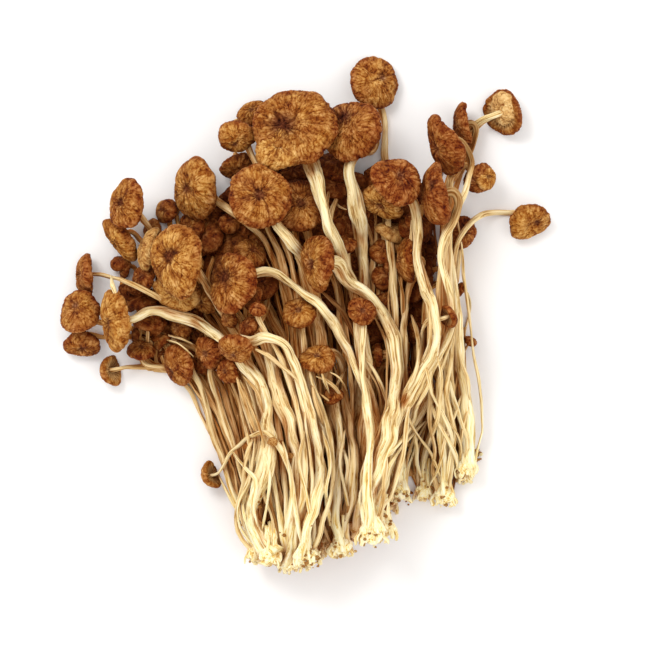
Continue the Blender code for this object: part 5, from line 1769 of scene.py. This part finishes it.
# Loose strands
# Thin dry stems without a cap, twigs and shreds lie over the others and cross them,
# most of all at the lower right. They have the same dry skin as the stems.
STRANDS = (
    # width in mm, how brown, pixels along it
    (1.8, 0.1, ((430, 371), (426, 385), (417, 405), (412, 422), (395, 446), (382, 458))),
    (1.6, 0.2, ((436, 356), (441, 380), (439, 402), (436, 422), (429, 446), (423, 470))),
    (1.6, 0.4, ((412, 315), (417, 334), (418, 354), (414, 373), (406, 392))),
    (1.3, 0.3, ((458, 312), (458, 336), (460, 358), (468, 380), (470, 400))),
    (1.6, 0.2, ((429, 397), (436, 417), (446, 436), (456, 456), (458, 470))),
    (1.5, 0.2, ((412, 422), (417, 446), (418, 466), (424, 484))),
    (1.5, 0.2, ((426, 422), (412, 436), (397, 451), (387, 468), (384, 484))),
    (1.3, 0.3, ((441, 417), (455, 430), (462, 446), (460, 462))),
    (1.7, 0.1, ((446, 372), (452, 395), (461, 420), (468, 440), (466, 458))),
    (1.5, 0.1, ((423, 360), (431, 392), (444, 418), (452, 440), (449, 462), (447, 484))),
    (1.3, 0.4, ((404, 410), (415, 432), (432, 455), (441, 478))),
    (1.3, 0.4, ((462, 395), (455, 415), (445, 440), (438, 470), (430, 488))),
    (1.2, 0.4, ((470, 405), (463, 430), (460, 455))),
    (1.4, 0.1, ((232, 452), (244, 465), (256, 477), (254, 503), (258, 525))),
    (1.3, 0.4, ((246, 425), (251, 450), (249, 480), (243, 505), (249, 530))),
    (1.3, 0.3, ((262, 440), (270, 470), (268, 500), (262, 530))),
    (1.4, 0.5, ((283, 440), (290, 470), (292, 500), (286, 530))),
    (1.4, 0.6, ((305, 430), (300, 460), (306, 490), (312, 520))),
    (1.4, 0.2, ((322, 430), (330, 460), (326, 490), (330, 525))),
    (1.4, 0.4, ((345, 430), (340, 460), (345, 490), (350, 515))),
    (1.6, 0.9, ((236, 374), (243, 395), (250, 415), (256, 430))),
    (1.3, 0.9, ((240, 380), (251, 405), (262, 430), (266, 450))),
    (1.4, 0.9, ((244, 376), (258, 392), (264, 412))),
    (1.2, 0.5, ((329, 189), (333, 198), (340, 206), (347, 209))),
    (1.6, 0.1, ((111, 276), (114, 286), (118, 298))),
    (1.6, 0.6, ((256, 349), (268, 355), (282, 366), (296, 378), (302, 392))),
    (2.0, 0.8, ((311, 378), (314, 395), (319, 410), (324, 426))),
    (1.4, 0.7, ((316, 376), (326, 380), (336, 388), (342, 399))),
    (1.2, 0.3, ((321, 370), (325, 381), (329, 393))),
    (1.2, 0.5, ((330, 372), (340, 378), (347, 391))),
    (1.2, 0.9, ((317, 391), (325, 398), (333, 404))),
    (1.2, 0.3, ((336, 386), (341, 378), (346, 369))),
    (1.0, 0.3, ((166, 340), (176, 343), (186, 350), (193, 357))),
    (0.9, 0.4, ((158, 331), (168, 336), (180, 339), (192, 344))),
)
OVER_EACH = 2  # a strand is stiff: it clears what lies this many places off
OVER_RADIUS = 0.4  # how far its middle lies over what it clears, in radii
STRAND_END, STRAND_DIP = 6 * MM, 2.2 * MM  # its ends dip in among the others
STRAND_TIP = 0.35  # thickness of its very end, as a share
STRAND_AROUND, STRAND_SHIFT = 7, 0.3
WHITE_ROWS = (530, 430)  # pixel rows where a strand is all white, and not at all


def laid_over(pixels, width):
    """A line through pixels that lies on top of the pile."""
    radius = 0.5 * width * MM
    spots = [(*place(pixel), 0.0) for pixel in pixels]
    line, widths = smooth_line(spots, [radius] * len(spots), THIN_STEP)
    around = [height_at(line + shift) for shift in itertools.product((-MM, 0, MM), repeat=3)]
    heights = np.max(around, axis=0)
    for smoothing in (np.max, np.mean):
        padded = np.pad(heights, OVER_EACH, mode="edge")
        spans = [padded[i:i + len(line)] for i in range(2 * OVER_EACH + 1)]
        heights = smoothing(spans, axis=0)
    length = np.arange(len(line)) * THIN_STEP
    to_end = np.minimum(length, length[-1] - length)
    line[:, 2] = heights + OVER_RADIUS * radius
    line[:, 2] -= STRAND_DIP * (1 - eased(to_end, 0, STRAND_END))
    line[:, 2] = np.maximum(line[:, 2], radius)
    return line, widths * np.minimum(1, STRAND_TIP + to_end / STRAND_END)


strands = []
white_from, white_to = (place((0, row))[1] for row in WHITE_ROWS)
for number, (width, tone, pixels) in enumerate(STRANDS):
    line, widths = laid_over(pixels, width)
    white = np.interp(line[:, 1], (white_from, white_to), (1.0, 0.0))
    strand = stem_shell(line, widths, number + STRAND_SHIFT, tone, STRAND_AROUND, foot=white)
    values = strand[-1]
    values["foot"][[0, -1]] = 0  # its broken tips are brown
    strands.append(strand)
piece("loose_strands", strands, dry_stem)

# Crumbs
# Bits of bark and root mass, and a few shrivelled pins, that broke off in the drying.
# They cling to the stems and gather between the feet.
HEAPS = (
    # pixel, how many, reach in pixels, size in mm, 1 for pale root mass
    ((313, 555), 22, 9, 0.5, 0.1), ((322, 525), 18, 12, 0.5, 0.2), ((388, 514), 18, 10, 0.5, 0.3),
    ((480, 456), 12, 6, 0.6, 0.1), ((357, 506), 6, 4, 0.5, 0.9), ((334, 542), 10, 8, 0.5, 0.4),
    ((238, 524), 7, 5, 0.6, 0.1), ((262, 500), 8, 9, 0.5, 0.1), ((345, 530), 9, 10, 0.5, 0.5),
    ((440, 488), 14, 12, 0.45, 0.4), ((300, 566), 10, 10, 0.5, 0.6), ((404, 500), 12, 10, 0.5, 0.4),
    ((278, 528), 16, 10, 0.55, 0.1), ((425, 480), 10, 12, 0.45, 0.3), ((368, 528), 10, 9, 0.5, 0.4),
    ((272, 438), 2, 3, 1.3, 0.0), ((282, 441), 1, 1, 1.1, 0.0), ((248, 447), 1, 1, 1.4, 0.0),
    ((243, 536), 1, 1, 1.1, 0.0), ((457, 425), 1, 1, 1.2, 0.0), ((455, 439), 1, 1, 1.1, 0.0),
    ((450, 467), 1, 1, 1.1, 0.0), ((290, 454), 1, 1, 1.2, 0.0),
)
HEAP_SIZES = (0.6, 1.3)  # of a crumb, in the heap's size
HEAP_HEIGHT = 0.4  # how far its middle lies over the pile, in its own size
random = np.random.RandomState(3)
crumbs = []
for (column, row), count, reach, size, pale in HEAPS:
    for _ in range(count):
        angle, out = random.uniform(0, 2 * math.pi), reach * math.sqrt(random.uniform())
        x, y = place((column + out * math.cos(angle), row + out * math.sin(angle)))
        radius = size * random.uniform(*HEAP_SIZES) * MM
        height = float(height_at(np.array((x, y)))) + HEAP_HEIGHT * radius
        centre = np.array((x, y, max(ON_FLOOR * radius, height)))
        foot = float(random.uniform() < pale)
        crumbs.append(crumb_shell(centre, radius, len(crumbs), foot))
piece("crumbs", crumbs, dry_stem)

# Floor
# A plain matt white surface under the cluster. It is no part of the object, and is
# there for the shadow.
FLOOR_SIZE = 4  # metres
FLOOR_WHITE = (244, 242, 240)
bpy.ops.mesh.primitive_plane_add(size=FLOOR_SIZE)
floor = bpy.context.object
floor.name = "floor"
floor_finish = bpy.data.materials.new("matt_white")
floor_finish.use_nodes = True
floor_shader = floor_finish.node_tree.nodes["Principled BSDF"]
floor_shader.inputs["Base Color"].default_value = linear(*FLOOR_WHITE)
floor_shader.inputs["Roughness"].default_value = 0.9
floor.data.materials.append(floor_finish)

# Light
# A bright white room, a broad soft light from the upper left and a weaker one from the
# lower right, which leave only soft shadows between the stems.
ROOM_LIGHT = 1.08
room = bpy.data.worlds.new("bright_room")
bpy.context.scene.world = room
room.use_nodes = True
room.node_tree.nodes["Background"].inputs["Color"].default_value = (1, 1, 1, 1)
room.node_tree.nodes["Background"].inputs["Strength"].default_value = ROOM_LIGHT
LIT_PLACE = (0, 0, 0.02)  # the lights face this place, in the middle of the cluster


def soft_light(name, where, width, power):
    """A square light that faces the cluster."""
    lamp = bpy.data.lights.new(name, "AREA")
    lamp.size = width
    lamp.energy = power
    made = bpy.data.objects.new(name, lamp)
    bpy.context.scene.collection.objects.link(made)
    made.location = where
    way = mathutils.Vector(LIT_PLACE) - mathutils.Vector(where)
    made.rotation_mode = "QUATERNION"
    made.rotation_quaternion = way.to_track_quat("-Z", "Y")


soft_light("main_light", where=(-0.4, 0.5, 0.9), width=0.4, power=4.5)
soft_light("fill_light", where=(0.7, -0.3, 0.8), width=0.8, power=1.5)
bpy.context.scene.view_settings.view_transform = "Standard"

# Camera
# It looks straight down from far away, so that the heights hardly spread the picture.
# The middle of the picture is the middle of the photograph.
PICTURE = 650  # pixels across
LENS = 200.0
SENSOR = 36.0
FOCUS_HEIGHT = 0.018
VIEW_END = 10  # metres
camera = bpy.data.objects.new("camera", bpy.data.cameras.new("camera"))
bpy.context.scene.collection.objects.link(camera)
camera.data.lens = LENS
camera.data.sensor_width = SENSOR
camera.data.clip_end = VIEW_END
centre_x, centre_y = place((PICTURE / 2, PICTURE / 2))
camera.location = (centre_x, centre_y, FOCUS_HEIGHT + PICTURE * PIXEL * LENS / SENSOR)
bpy.context.scene.camera = camera
